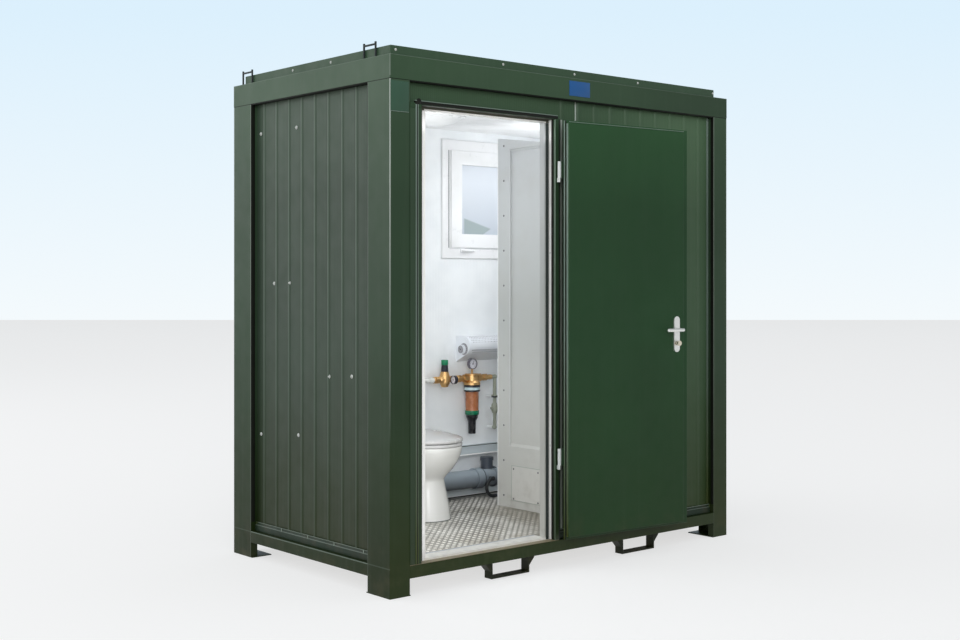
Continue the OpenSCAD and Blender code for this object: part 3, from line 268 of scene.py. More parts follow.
def sprayedPaint(name, code, rough, specular, foot=(0.3, 0.32, 0.03), grime=0.25, lines=0.0,
                 lining=None, reveal=None, worn=False, ribs=None, streaks=0.05, far=None):
    f = Finish(name)
    base = tone(code)
    dark = tuple(c * 0.92 for c in base[:3]) + (1.0,)
    light = tuple(min(1.0, c * 1.08) for c in base[:3]) + (1.0,)
    colour = f.mix(f.span(f.noise(2.2, 4), 0.32, 0.68), dark, light)
    if far:  # painted light: the panel lighter away from the door, whose shade falls on the part near it
        colour = f.mix(f.span(f.x, 0.02, 0.7), colour, far)
    # painted shade: darker and warmer towards the bottom, down to the tint foot
    footShade = f.span(f.plus(f.z, f.vary(3, 3, -0.12, 0.12)), 0.1, 1.15)
    colour = f.mix(1.0, colour, f.mix(footShade, foot + (1.0,), (1, 1, 1, 1)), "MULTIPLY")
    # painted sheen: the upper parts lighter
    crown = f.span(f.z, 1.85, 2.45)
    colour = f.mix(1.0, colour, f.mix(crown, (1, 1, 1, 1), (1.66, 1.6, 1.66, 1)), "MULTIPLY")
    streak = f.span(f.noise(1.0, 4, (30, 30, 0.8)), 0.5, 0.75)
    colour = f.mix(f.times(streak, streaks), colour, "#7b8578")
    low = f.times(f.span(f.z, 0.02, 0.3, 1.0, 0.0), f.span(f.noise(11, 5), 0.45, 0.75))
    colour = f.mix(f.times(low, grime), colour, "#6a6048")
    chips = f.times(f.span(f.noise(70, 2), 0.735, 0.76), f.span(f.z, 0.08, 0.32, 0.8, 0.0))
    colour = f.mix(chips, colour, "#5d4632")
    normal = f.grain(420, 2, 0.1, 0.0006)
    if lines:  # fine rolled lines of the sheet
        wave = f.calc("SINE", f.times(f.plus(f.x, f.y), 2 * math.pi / lines))
        normal = f.bump(wave, 0.12, 0.001, normal)
        colour = f.mix(f.span(wave, -1, 1, 0.0, 0.14), colour, "#161a15")
    if ribs:
        colour = ribHighlightsAndShade(f, colour, *ribs)
    # painted highlights, sheen and shade on the frame, with its dark joints
    if worn:
        colour = edgeHighlightsAndJoints(f, colour)
    shine = f.vary(14, 4, rough - 0.05, rough + 0.06)
    if lining:  # the inner faces of a wall panel
        inX = f.below(f.calc("ABSOLUTE", f.x), 1.125)
        inY = f.below(f.calc("ABSOLUTE", f.y), 0.625)
        board = f.mix(f.span(f.noise(5, 3), 0.3, 0.7), lining, "#e9edf0")
        colour = f.mix(f.times(inX, inY), colour, board)
    # doorway lining, with painted shade and a painted highlight
    if reveal:
        colour = rebateLiningAndShade(f, colour, *reveal)
    return f.wear(base=colour, rough=shine, specular=specular, normal=normal)


def boardWhite(name, code, rough=0.4, grain=240.0, smudge="#c9cbc6", share=0.25, specular=0.45):
    f = Finish(name)
    colour = f.mix(f.patch(6, 4, 0.45, 0.75, share), code, smudge)
    return f.satin(colour, rough - 0.06, rough + 0.08, specular, 18, grain)


def bareMetal(name, code, rough=0.35, brush=(1, 1, 1), scale=120.0, stain="#5b5a52", share=0.3):
    f = Finish(name)
    colour = f.mix(f.patch(16, 4, 0.45, 0.8, share), code, stain)
    line = f.noise(scale, 3, brush)
    shine = f.span(line, 0.3, 0.7, rough - 0.1, rough + 0.12)
    return f.wear(base=colour, rough=shine, metal=1.0, normal=f.bump(line, 0.1, 0.0004))


ribbedSheet = {"lines": 0.0119, "lining": "#f4f7f9"}  # pitch of the fine lines, tone of the inner face
darkFoot = (0.62, 0.6, 0.3)

framePaint = sprayedPaint("framePaint", "#344b36", 0.44, 0.22, worn=True)
wallPaint = sprayedPaint("wallPaint", "#405143", 0.46, 0.3, ribs=("y", -0.498, 0.45), **ribbedSheet)
backPaint = sprayedPaint("backPaint", "#405143", 0.46, 0.3, ribs=("x", 0.0455, 0.45), **ribbedSheet)
doorPaint = sprayedPaint("doorPaint", "#25492a", 0.52, 0.25, foot=(0.8, 0.72, 0.55), streaks=0.015)
frontPaint = sprayedPaint("frontPaint", "#375238", 0.5, 0.35, foot=darkFoot, **ribbedSheet)
# far: painted light, the right panel lighter away from the door
rightPaint = sprayedPaint("rightPaint", "#375238", 0.5, 0.35, ribs=("x", 0.0455, 0.07), far="#4a674a",
                          **ribbedSheet)
jambPaint = sprayedPaint("jambPaint", "#2b442d", 0.42, 0.4, foot=darkFoot, reveal=("#bdbebc", "#262f2c", 1.0))
headPaint = sprayedPaint("headPaint", "#2b442d", 0.42, 0.2, foot=darkFoot, reveal=("#d9dad8", "#57584d", 0.0))
loopPaint = sprayedPaint("loopPaint", "#26301f", 0.5, 0.25)
lugPaint = sprayedPaint("lugPaint", "#1d2524", 0.5, 0.3)
roofPaint = sprayedPaint("roofPaint", "#2c442f", 0.5, 0.4)
edgeGreen = sprayedPaint("edgeGreen", "#6f8176", 0.4, 0.4, grime=0.4)
plateGreen = sprayedPaint("plateGreen", "#31513f", 0.4, 0.35)
beadPale = sprayedPaint("beadPale", "#a3b0a4", 0.42, 0.4)
lidWhite = boardWhite("lidWhite", "#c0c0c0", 0.22)
boardPaint = boardWhite("boardPaint", "#fafbfc", 0.5)
plasticWhite = boardWhite("plasticWhite", "#eef0f1", 0.32)
windowWhite = boardWhite("windowWhite", "#ecedef", 0.32)
heaterWhite = boardWhite("heaterWhite", "#e6eaf0", 0.36)
glazeWhite = boardWhite("glazeWhite", "#d4d4d1", 0.14, grain=60, share=0.1, specular=0.55)
pipeWhite = boardWhite("pipeWhite", "#dfe0dc", 0.4)
trunkGrey = boardWhite("trunkGrey", "#c3cdd2", 0.42)
hoseBlack = boardWhite("hoseBlack", "#1d1f22", 0.45, smudge="#2e3033")
gaugeBlack = boardWhite("gaugeBlack", "#2c2b33", 0.4, smudge="#45434d")
dialWhite = boardWhite("dialWhite", "#cfcfd6", 0.3, smudge="#bfbfc7")
dialGrey = boardWhite("dialGrey", "#9b9ba0", 0.4, smudge="#77777c", share=0.6)
shadeLine = boardWhite("shadeLine", "#5f645f", 0.55, smudge="#4c504c")
bonnetBlack = boardWhite("bonnetBlack", "#2a2a36", 0.5, smudge="#353541")
capGreen = boardWhite("capGreen", "#0f7a52", 0.4, smudge="#0c6a47")
sealAndShadeBlack = boardWhite("sealAndShadeBlack", "#12150f", 0.6, smudge="#22261e", specular=0.25)
gasketGrey = boardWhite("gasketGrey", "#9c9ea3", 0.55, smudge="#8a8c91")
gapShadeDark = boardWhite("gapShadeDark", "#7b7d82", 0.55, smudge="#6c6e73")
paleGapShade = boardWhite("paleGapShade", "#dcdee1", 0.55, smudge="#cfd1d4")
liningWhite = boardWhite("liningWhite", "#fbfaf8", 0.4)
blankBlue = boardWhite("blankBlue", "#1d62a8", 0.35, smudge="#2a6fb2", share=0.4)
darkRedBrown = boardWhite("darkRedBrown", "#4a2c27", 0.5, smudge="#2c1c1a")
foldHighlightGrey = boardWhite("foldHighlightGrey", "#d3d6d6", 0.45)
trimPale = boardWhite("trimPale", "#a8b2a8", 0.42, smudge="#8f9a90")
clipPale = boardWhite("clipPale", "#8f9c90", 0.5, smudge="#78857a")
screwWhite = boardWhite("screwWhite", "#dfe3e0", 0.4)
screwDark = boardWhite("screwDark", "#6a6b6d", 0.45, smudge="#4e4f50")
lockSteel = bareMetal("lockSteel", "#f0f1ee", 0.45, (1, 1, 14), 60, share=0.1)
turnBrass = bareMetal("turnBrass", "#e9e0cc", 0.42)
castBrass = bareMetal("castBrass", "#dcb27a", 0.4, stain="#8e6c40")


def zonedFinish(name, axis, zones, rough):  # colours by height or depth, lowest first
    f = Finish(name)
    along = getattr(f, axis)
    colour = zones[0][1]
    for start, code in zones[1:]:
        colour = f.mix(f.above(along, start), colour, code)
    colour = f.mix(f.patch(24, 4, 0.45, 0.75, 0.18), colour, "#55524c")
    return f.satin(colour, rough - 0.06, rough + 0.08)


filterZones = [(0.0, "#1f1f24"), (0.650, "#0e7350"), (0.675, "#a86a45"), (0.788, "#23262b"), (0.7995, "#c4dbe0"),
               (0.8155, "#2a2d33")]
filterBands = zonedFinish("filterBands", "z", filterZones, 0.26)
sillZones = [(-1.0, "#8a7f64"), (-0.668, "#aca188"), (-0.6575, "#f6f4ee"), (-0.578, "#c3c7cb")]
sillWorn = zonedFinish("sillWorn", "y", sillZones, 0.45)


def drainPlastic(name):  # painted highlight on top, painted shade underneath, darker branch
    f = Finish(name)
    colour = f.mix(f.span(f.z, 0.215, 0.315), "#5a6067", "#9ba7b0")
    branch = f.times(f.within(f.x, 0.42, 0.52), f.above(f.z, 0.315))
    colour = f.mix(branch, colour, "#454c57")
    colour = f.mix(f.within(f.x, 0.408, 0.418), colour, "#3a4047")
    colour = f.mix(f.patch(24, 4, 0.45, 0.75, 0.06), colour, "#55524c")
    return f.satin(colour, 0.30, 0.36, 0.5)


def dropPlastic(name):  # grey-green pipe, its wall brackets painted with the wall
    f = Finish(name)
    colour = f.mix(f.patch(20, 4, 0.4, 0.75, 0.35), "#a3a899", "#7e8479")
    colour = f.mix(f.above(f.y, 0.5745), colour, "#eceff1")
    return f.satin(colour, 0.34, 0.48)


def gaugeCase(name):  # black case on the reducer, grey one on a brass stem over the filter
    f = Finish(name)
    over = f.above(f.x, 0.25)
    colour = f.mix(f.patch(40, 3, 0.4, 0.7, 0.3), "#2c2b33", "#45434d")
    colour = f.mix(over, colour, "#66636f")
    colour = f.mix(f.times(over, f.below(f.z, 0.925)), colour, "#a9875a")
    return f.satin(colour, 0.34, 0.46, strength=0.05)


drainGrey = drainPlastic("drainGrey")
dropGrey = dropPlastic("dropGrey")
gaugeTwo = gaugeCase("gaugeTwo")


def panelPaint(name, low="#d0d0cb", middle="#b3b6b4", high="#d1d4d6"):
    f = Finish(name)
    # painted light: lighter at the foot and at the top than in the middle
    colour = f.mix(f.span(f.z, 0.3, 1.2), low, middle)
    colour = f.mix(f.span(f.z, 1.3, 2.2), colour, high)
    colour = f.mix(f.patch(5, 4, 0.45, 0.75, 0.3), colour, "#b2b2ac")
    scuff = f.times(f.span(f.z, 0.15, 0.5, 0.25, 0.0), f.span(f.noise(20, 5), 0.5, 0.75))
    colour = f.mix(scuff, colour, "#8b8375")
    return f.satin(colour, 0.38, 0.5, speck=16, pores=240)


def treadPaint(name, clean, dull):
    f = Finish(name)
    colour = f.mix(f.span(f.noise(7, 5), 0.35, 0.7), clean, dull)
    soil = f.times(f.span(f.y, -0.2, -0.62), f.span(f.noise(9, 5), 0.4, 0.7, 0.1, 0.7))
    colour = f.mix(soil, colour, "#8d7f6a")
    # painted shadow of the side panel on the floor
    panelShadow = f.times(f.span(f.plus(f.x, f.vary(6, 4, -0.08, 0.08)), -0.1, 0.16), f.span(f.y, 0.3, 0.1, 0.0, 0.6))
    colour = f.mix(panelShadow, colour, "#8f8777")
    return f.wear(base=colour, rough=f.vary(60, 3, 0.34, 0.5), metal=0.55, normal=f.grain(150, 3, 0.12, 0.0006))


def windowPane(name):
    f = Finish(name)
    # painted view through the glass: lighter upwards, with a darker wedge
    colour = f.mix(f.span(f.z, 1.74, 2.05), "#c0c8d2", "#dce2ea")
    under = f.span(f.plus(f.z, f.times(f.less(f.x, 0.346), 0.278)), 1.832, 1.840, 1.0, 0.0)
    over = f.span(f.less(f.z, f.times(f.less(f.x, 0.505), 0.58)), 1.740, 1.748)
    side = f.span(f.x, 0.343, 0.352)
    colour = f.mix(f.times(f.times(under, over), f.times(side, 0.8)), colour, "#98a7a7")
    return f.satin(colour, 0.12, 0.2, 0.4, 40, 220, 0.05)


def flashingPaint(name):
    f = Finish(name)
    colour = f.mix(f.span(f.noise(6, 4), 0.35, 0.7), "#1b2c1d", "#26382a")
    colour = f.mix(f.patch(13, 5, 0.48, 0.72, 0.4), colour, "#4b4738")
    # painted highlights along the flashing's two fold edges
    for low, high, share in ((0.1838, 0.1875, 0.5), (0.1695, 0.1728, 0.35)):
        colour = f.mix(f.times(f.within(f.z, low, high), share), colour, "#9aa79c")
    return f.wear(base=colour, rough=f.vary(14, 4, 0.42, 0.54), specular=0.25,
                  normal=f.grain(300, 2, 0.08, 0.0006))


def hingeCoat(name):  # bright knuckle, painted leaf plates
    f = Finish(name)
    across, along = f.plus(f.x, 0.150), f.plus(f.y, 0.722)  # from the hinge's axis
    gap = f.calc("SQRT", f.plus(f.calc("POWER", across, 2.0), f.calc("POWER", along, 2.0)))
    plate = f.above(gap, 0.0125)
    colour = f.mix(f.patch(30, 4, 0.45, 0.8, 0.3), "#d3d6d5", "#8b8d88")
    return f.wear(base=f.mix(plate, colour, "#2f4a33"), rough=f.vary(40, 3, 0.36, 0.5), specular=0.5,
                  metal=f.less(0.6, f.times(plate, 0.6)), normal=f.grain(200, 2, 0.08, 0.0004))


flashPaint = flashingPaint("flashPaint")
hingeZinc = hingeCoat("hingeZinc")
panelGrey = panelPaint("panelGrey")
revealGrey = panelPaint("revealGrey", "#c2c2bd", "#a9acaa", "#b4b7b9")
coverGrey = panelPaint("coverGrey", "#d8d7d2")
# one metal in two tones: the deck darker, painted shade, the raised bars lighter, painted highlight
deckMetalShaded = treadPaint("deckMetalShaded", "#b2b0aa", "#888580")
barMetalLit = treadPaint("barMetalLit", "#e6e4de", "#bebbb3")
paneGlass = windowPane("paneGlass")

coated = [
    (framePaint, "corner_posts floor_rails_long floor_rails_short roof_rails_long roof_rails_short"),
    (roofPaint, "roof_sheet"),
    (lugPaint, "roof_lugs"),
    (loopPaint, "fork_loops"),
    (deckMetalShaded, "floor_deck"),
    (boardPaint, "ceiling_board"),
    (wallPaint, "left_wall right_wall"),
    (backPaint, "back_wall_left back_wall_right"),
    (frontPaint, "front_wall_edge front_wall_over_door front_wall_beside_door"),
    (rightPaint, "front_wall_right"),
    (flashPaint, "base_flashings"),
    (jambPaint, "door_jambs"),
    (headPaint, "door_head"),
    (sillWorn, "door_threshold"),
    (doorPaint, "door_leaf"),
    (hingeZinc, "hinge_frame_halves hinge_door_halves"),
    (lockSteel, "lock_plates door_lever"),
    (turnBrass, "thumb_turn"),
    (windowWhite, "window_frame window_sash window_handle"),
    (paneGlass, "window_glass"),
    (panelGrey, "side_panel"),
    (coverGrey, "access_cover"),
    (glazeWhite, "toilet_pan toilet_cistern"),
    (lidWhite, "toilet_seat toilet_lid"),
    (heaterWhite, "heater heater_dial"),
    (plasticWhite, "ceiling_lamp"),
    (pipeWhite, "water_pipe"),
    (castBrass, "pressure_reducer filter_head"),
    (filterBands, "filter_cup"),
    (gaugeTwo, "gauges"),
    (dropGrey, "drop_pipe"),
    (drainGrey, "drain_pipe"),
    (hoseBlack, "waste_hose"),
    (trunkGrey, "wall_trunking"),
]
finishOf = {name: finish for finish, names in coated for name in names.split()}
for name, finish in finishOf.items():
    for place in nodes[name].material_slots:
        place.material = finish
print("finishes set on", len(finishOf), "nodes")


def flatPiece(name, corners):  # one quad as a mesh
    mesh = bpy.data.meshes.new(name)
    mesh.from_pydata([tuple(c) for c in corners], [], [tuple(range(len(corners)))])
    piece = bpy.data.objects.new(name, mesh)
    scene.collection.objects.link(piece)
    return piece


def seenRays(f):  # 1 for camera, mirror and glass rays
    path = f.node("ShaderNodeLightPath").outputs
    mirrored = f.calc("MAXIMUM", path["Is Glossy Ray"], path["Is Transmission Ray"])
    return f.calc("MAXIMUM", path["Is Camera Ray"], mirrored)


def setStage():
    heading = math.radians(-viewPoint["turn"])
    ahead = Vector((math.sin(heading), math.cos(heading), 0))
    eye = Vector(viewPoint["place"])
    eye.z = 0.0
    far = eye + ahead * studio["reach"]
    near = eye - ahead * studio["behind"]
    wide = Vector((ahead.y, -ahead.x, 0)) * studio["halfWidth"]
    tall = Vector((0, 0, studio["height"]))
    floor = flatPiece("studioFloor", [near - wide, near + wide, far + wide, far - wide])
    back = flatPiece("studioBackdrop", [far - wide, far + wide, far + wide + tall, far - wide + tall])
    f = Finish("floorPale")
    seen = seenRays(f)
    base = f.mix(f.span(seen, 0, 1), "#8f8978", "#b0b0b0")
    power = f.span(seen, 0, 1, 0.0, 0.7)
    f.wear(base=base, rough=0.9, specular=0.0, glow=studio["floorTone"], glowPower=power)
    floor.data.materials.append(f.mat)
    f = Finish("backdropPale")
    seen = seenRays(f)
    shade = f.mix(f.span(f.z, 0.0, 11.0), studio["skyLow"], studio["skyHigh"])
    power = f.span(seen, 0, 1, 0.3, 1.0)
    f.wear(base=(0, 0, 0, 1), rough=1.0, specular=0.0, glow=shade, glowPower=power)
    back.data.materials.append(f.mat)


def setCamera():
    data = bpy.data.cameras.new("viewCamera")
    data.sensor_width = 36.0
    data.lens = viewPoint["lens"]
    data.shift_y = viewPoint["lower"]
    data.clip_end = 300.0
    eye = bpy.data.objects.new("viewCamera", data)
    eye.location = viewPoint["place"]
    eye.rotation_euler = (math.pi / 2, 0, math.radians(viewPoint["turn"]))
    scene.collection.objects.link(eye)
    scene.camera = eye


def addLamp(name, kind, place):
    data = bpy.data.lights.new(name, kind)
    data.energy = studio[name]
    lamp = bpy.data.objects.new(name, data)
    lamp.location = place
    lamp.visible_camera = False
    scene.collection.objects.link(lamp)
    return lamp


def softBox(name, place, aim, size):
    lamp = addLamp(name, "AREA", place)
    lamp.data.shape = "RECTANGLE"
    lamp.data.size, lamp.data.size_y = size
    lamp.rotation_euler = (Vector(aim) - Vector(place)).to_track_quat("-Z", "Y").to_euler()


def bulb(name, place):
    addLamp(name, "POINT", place).data.shadow_soft_size = 0.22


def setLights():
    world = bpy.data.worlds.new("studioWorld")
    scene.world = world
    world.use_nodes = True
    plain = world.node_tree.nodes["Background"].inputs
    plain["Color"].default_value = (0.93, 0.97, 1.0, 1.0)
    plain["Strength"].default_value = studio["worldLight"]
    softBox("sideBox", (-9.5, 9.0, 5.0), (-1.2, 0.0, 1.3), (12.0, 8.0))
    softBox("frontBox", (-10.0, -13.0, 6.0), (-0.6, -0.7, 1.2), (8.0, 6.0))
    bulb("roomLamp", (0.62, 0.0, 2.0))
    bulb("nearLamp", (-0.6, -0.2, 2.0))
    softBox("doorFill", (-0.58, -0.58, 1.2), (-0.58, 0.6, 1.2), (0.75, 2.0))
    softBox("panelFill", (-1.08, -0.12, 0.75), (0.28, -0.12, 0.62), (0.8, 1.1))
    softBox("headStrip", (-0.575, -0.700, 2.17), (-0.575, -0.660, 2.27), (0.76, 0.03))
    softBox("lockStrip", (-0.940, -0.695, 1.2), (-0.978, -0.657, 1.2), (0.03, 2.05))
    softBox("ribBox", (-11.0, -4.6, 2.6), (-1.2, 0.0, 1.3), (2.6, 5.0))


doorAxis = Vector((-0.150, -0.722, 0.0))
doorOpen = Matrix.Rotation(math.radians(175), 4, "Z")
doorTurn = Matrix.Translation(doorAxis) @ doorOpen @ Matrix.Translation(-doorAxis)  # shut to the rest pose


def addPiece(name, bm, finish, body="cabin", stands=(), sharp=40):
    mesh = bpy.data.meshes.new(name)
    bm.to_mesh(mesh)
    bm.free()
    for face in mesh.polygons:
        face.use_smooth = True
    mesh.set_sharp_from_angle(angle=math.radians(sharp))
    mesh.materials.append(finish)
    enrol(bpy.data.objects.new(name, mesh), body, stands)


def enrol(piece, body="cabin", stands=()):  # puts a piece on its body
    if piece.name not in scene.collection.objects:
        scene.collection.objects.link(piece)
    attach(piece, body)
    if stands:
        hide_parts(*stands)


def slab(bm, part, soft):  # one bar with eased edges, bounds in mm as x0, x1, y0, y1, z0, z1
    low = Vector(part[0::2]) / 1000
    size = Vector(part[1::2]) / 1000 - low
    made = bmesh.ops.create_cube(bm, size=1.0)["verts"]
    for v in made:
        v.co = Vector(low[i] + (v.co[i] + 0.5) * size[i] for i in range(3))
    edges = list(dict.fromkeys(e for v in made for e in v.link_edges))
    ease = min(soft / 1000, 0.3 * min(size))
    bmesh.ops.bevel(bm, geom=edges, offset=ease, segments=2, profile=0.5, affect="EDGES")


def bars(name, parts, finish, body="cabin", soft=1.0, turn=None):
    bm = bmesh.new()
    for part in parts:
        slab(bm, part, soft)
    if turn:
        bm.transform(turn)
    addPiece(name, bm, finish, body)


def softened(node, radius, body="cabin", least=0.02, steps=2):  # the CAD piece with eased outer edges
    bm = bmesh.new()
    bm.from_mesh(nodes[node].data)
    bm.transform(nodes[node].matrix_world)
    bmesh.ops.remove_doubles(bm, verts=bm.verts, dist=2e-5)
    bmesh.ops.dissolve_limit(bm, angle_limit=math.radians(0.6), verts=bm.verts, edges=bm.edges)
    picked = []
    for e in bm.edges:
        if len(e.link_faces) != 2 or e.calc_length() <= least:
            continue
        outward = e.calc_face_angle_signed(0.0) > math.radians(50)
        narrowest = min(f.calc_area() for f in e.link_faces) / e.calc_length()
        if outward and narrowest > 2.2 * radius:  # room for the bevel on both faces
            picked.append(e)
    bmesh.ops.bevel(bm, geom=picked, offset=radius, segments=steps, profile=0.5, affect="EDGES",
                    clamp_overlap=True)
    head, *tail = node.split("_")
    name = head + "".join(t.capitalize() for t in tail) + "Eased"
    addPiece(name, bm, finishOf[node], body, (node,), sharp=14)


def turned(bm, profile, place, sides=36):  # (radius, height) pairs spun about the upright of place
    rings = []
    for radius, height in profile:
        if radius < 1e-6:
            rings.append([bm.verts.new(place @ Vector((0, 0, height)))])
        else:
            rings.append([bm.verts.new(place @ Vector((radius * math.cos(a), radius * math.sin(a), height)))
                          for a in (2 * math.pi * i / sides for i in range(sides))])
    for low, high in zip(rings, rings[1:]):
        for i in range(sides):
            j = (i + 1) % sides
            if len(low) == 1:
                bm.faces.new((low[0], high[j], high[i]))
            elif len(high) == 1:
                bm.faces.new((low[i], low[j], high[0]))
            else:
                bm.faces.new((low[i], low[j], high[j], high[i]))
    if len(rings[0]) > 1:
        bm.faces.new(tuple(reversed(rings[0])))
    if len(rings[-1]) > 1:
        bm.faces.new(tuple(rings[-1]))


def loft(bm, rings, loop=False):  # skins rings of equal count, first to last
    made = [[bm.verts.new(v) for v in ring] for ring in rings]
    pairs = list(zip(made, made[1:])) + ([(made[-1], made[0])] if loop else [])
    for low, high in pairs:
        for i in range(len(low)):
            j = (i + 1) % len(low)
            bm.faces.new((low[i], low[j], high[j], high[i]))
    if not loop:
        bm.faces.new(tuple(reversed(made[0])))
        bm.faces.new(tuple(made[-1]))


class Maker(Graph):  # a Geometry Nodes tree
    def __init__(self, name, inputs):
        self.tree = bpy.data.node_groups.new(name, "GeometryNodeTree")
        face = self.tree.interface
        face.new_socket(name="Geometry", in_out="INPUT", socket_type="NodeSocketGeometry")
        for label, kind in inputs:
            face.new_socket(name=label, in_out="INPUT", socket_type="NodeSocket" + kind)
        face.new_socket(name="Geometry", in_out="OUTPUT", socket_type="NodeSocketGeometry")
        self.given = self.node("NodeGroupInput").outputs
        self.out = self.node("NodeGroupOutput").inputs[0]

    def join(self, *parts):
        made = self.node("GeometryNodeJoinGeometry")
        for part in parts:
            self.tree.links.new(part, made.inputs[0])
        return made.outputs[0]

    def close(self, geometry):  # plain mesh with its finish at the end of the tree
        real = self.put("GeometryNodeRealizeInstances", {0: geometry})
        done = self.put("GeometryNodeSetMaterial", {"Geometry": real, "Material": self.given["finish"]})
        self.feed(self.out, done)


def grow(name, tree, values, points=((0, 0, 0),), facing=None):
    mesh = bpy.data.meshes.new(name + "Points")
    mesh.from_pydata([tuple(c) for c in points], [], [])
    if facing:
        ways = mesh.attributes.new("facing", "FLOAT_VECTOR", "POINT")
        for i, way in enumerate(facing):
            ways.data[i].vector = way
    piece = bpy.data.objects.new(name, mesh)
    scene.collection.objects.link(piece)
    step = piece.modifiers.new("grow", "NODES")
    step.node_group = tree
    for item in tree.interface.items_tree:
        if item.in_out == "INPUT" and item.name in values:
            step[item.identifier] = values[item.name]
    view = bpy.context.evaluated_depsgraph_get()
    plain = bpy.data.meshes.new_from_object(piece.evaluated_get(view))
    piece.modifiers.clear()
    piece.data = plain
    bpy.data.meshes.remove(mesh)
    plain.name = name
    enrol(piece)


def fastenerTree():
    sizes = [(label, "Float") for label in ("radius", "height", "washer")]
    m = Maker("fastenerHeads", sizes + [("finish", "Material")])
    radius, height = m.given["radius"], m.given["height"]
    disc = m.put("GeometryNodeMeshCylinder", {"Vertices": 12, "Radius": m.given["washer"], "Depth": 0.0016})
    crown = m.put("ShaderNodeMath", {0: radius, 1: 0.55}, operation="MULTIPLY")
    shape = {"Vertices": 12, "Radius Top": crown, "Radius Bottom": radius, "Depth": height}
    cone = m.put("GeometryNodeMeshCone", shape)
    way = m.put("GeometryNodeInputNamedAttribute", {"Name": "facing"}, data_type="FLOAT_VECTOR")
    spin = m.put("FunctionNodeAlignRotationToVector", {"Vector": way}, axis="Z")
    head = m.join(disc, cone)
    copies = {"Points": m.given["Geometry"], "Instance": head, "Rotation": spin}
    m.close(m.put("GeometryNodeInstanceOnPoints", copies))
    return m.tree


def treadTree():
    sizes = [(label, "Float") for label in ("cell", "long", "wide", "tall", "halfX", "halfY")]
    m = Maker("treadBars", sizes + [("count", "Int"), ("finish", "Material")])
    cell, count = m.given["cell"], m.given["count"]

    def sums(kind, a, b=0.0):
        return m.put("ShaderNodeMath", {0: a, 1: b}, operation=kind)

    def beyond(value, half):
        return sums("SUBTRACT", sums("ABSOLUTE", value), m.given[half])

    def triple(x, y, z):
        return m.put("ShaderNodeCombineXYZ", {0: x, 1: y, 2: z})

    span = sums("MULTIPLY", cell, sums("SUBTRACT", count, 1.0))
    plan = {"Size X": span, "Size Y": span, "Vertices X": count, "Vertices Y": count}
    field = m.put("GeometryNodeMeshGrid", plan)
    number = m.put("GeometryNodeInputIndex")
    row = sums("FLOOR", sums("DIVIDE", number, count))
    odd = sums("MODULO", sums("ADD", row, sums("MODULO", number, count)), 2.0)
    held = m.put("GeometryNodeStoreNamedAttribute", {"Geometry": field, "Name": "odd", "Value": odd},
                 data_type="FLOAT", domain="POINT")
    laid = m.put("GeometryNodeTransform", {"Geometry": held, "Rotation": (0, 0, math.pi / 4),
                                           "Translation": (0, 0, 0.1501)})  # just over the deck
    spot = m.node("ShaderNodeSeparateXYZ", {0: m.put("GeometryNodeInputPosition")}).outputs
    past = sums("MAXIMUM", beyond(spot[0], "halfX"), beyond(spot[1], "halfY"))
    cut = m.put("GeometryNodeDeleteGeometry", {"Geometry": laid, "Selection": sums("GREATER_THAN", past, 0.0)},
                domain="POINT")
    size = triple(sums("MULTIPLY", m.given["long"], 0.5), sums("MULTIPLY", m.given["wide"], 0.5),
                  m.given["tall"])
    cone = m.put("GeometryNodeMeshCone", {"Vertices": 4, "Radius Top": 0.0, "Radius Bottom": 1.0, "Depth": 1.0},
                 fill_type="NONE")
    bar = m.put("GeometryNodeTransform", {"Geometry": cone, "Scale": size})
    step = triple(0.0, sums("MULTIPLY", cell, 0.2), 0.0)
    start = triple(0.0, sums("MULTIPLY", cell, -0.4), 0.0)
    line = m.put("GeometryNodeMeshLine", {"Count": 5, "Start Location": start, "Offset": step})
    copies = m.put("GeometryNodeInstanceOnPoints", {"Points": line, "Instance": bar})
    five = m.put("GeometryNodeRealizeInstances", {0: copies})
    kept = m.put("GeometryNodeInputNamedAttribute", {"Name": "odd"}, data_type="FLOAT")
    angle = sums("ADD", sums("MULTIPLY", kept, math.pi / 2), math.pi / 4)
    spin = m.put("ShaderNodeCombineXYZ", {2: angle})
    m.close(m.put("GeometryNodeInstanceOnPoints", {"Points": cut, "Instance": five, "Rotation": spin}))
    return m.tree


heads = fastenerTree()

frameEdges = {"post": 0.005, "rail": 0.004, "sheet": 0.003, "door": 0.0025, "trim": 0.0015}
softened("corner_posts", frameEdges["post"])
for node in ("floor_rails_long", "floor_rails_short", "roof_rails_long", "roof_rails_short"):
    softened(node, frameEdges["rail"])
for node in ("roof_sheet", "fork_loops", "window_frame", "window_sash", "side_panel"):
    softened(node, frameEdges["sheet"])
for node in ("door_jambs", "door_head", "base_flashings", "wall_trunking", "access_cover", "roof_lugs"):
    softened(node, frameEdges["trim"])
softened("door_leaf", frameEdges["door"], "door")
softened("lock_plates", 0.001, "door", 0.0)
softened("toilet_cistern", 0.014, steps=3)
softened("heater", 0.0015)
print("frame eased")

# thickness of the black strips that paint shade in the frame's recesses, mm
seams = {"seal": 3.5}


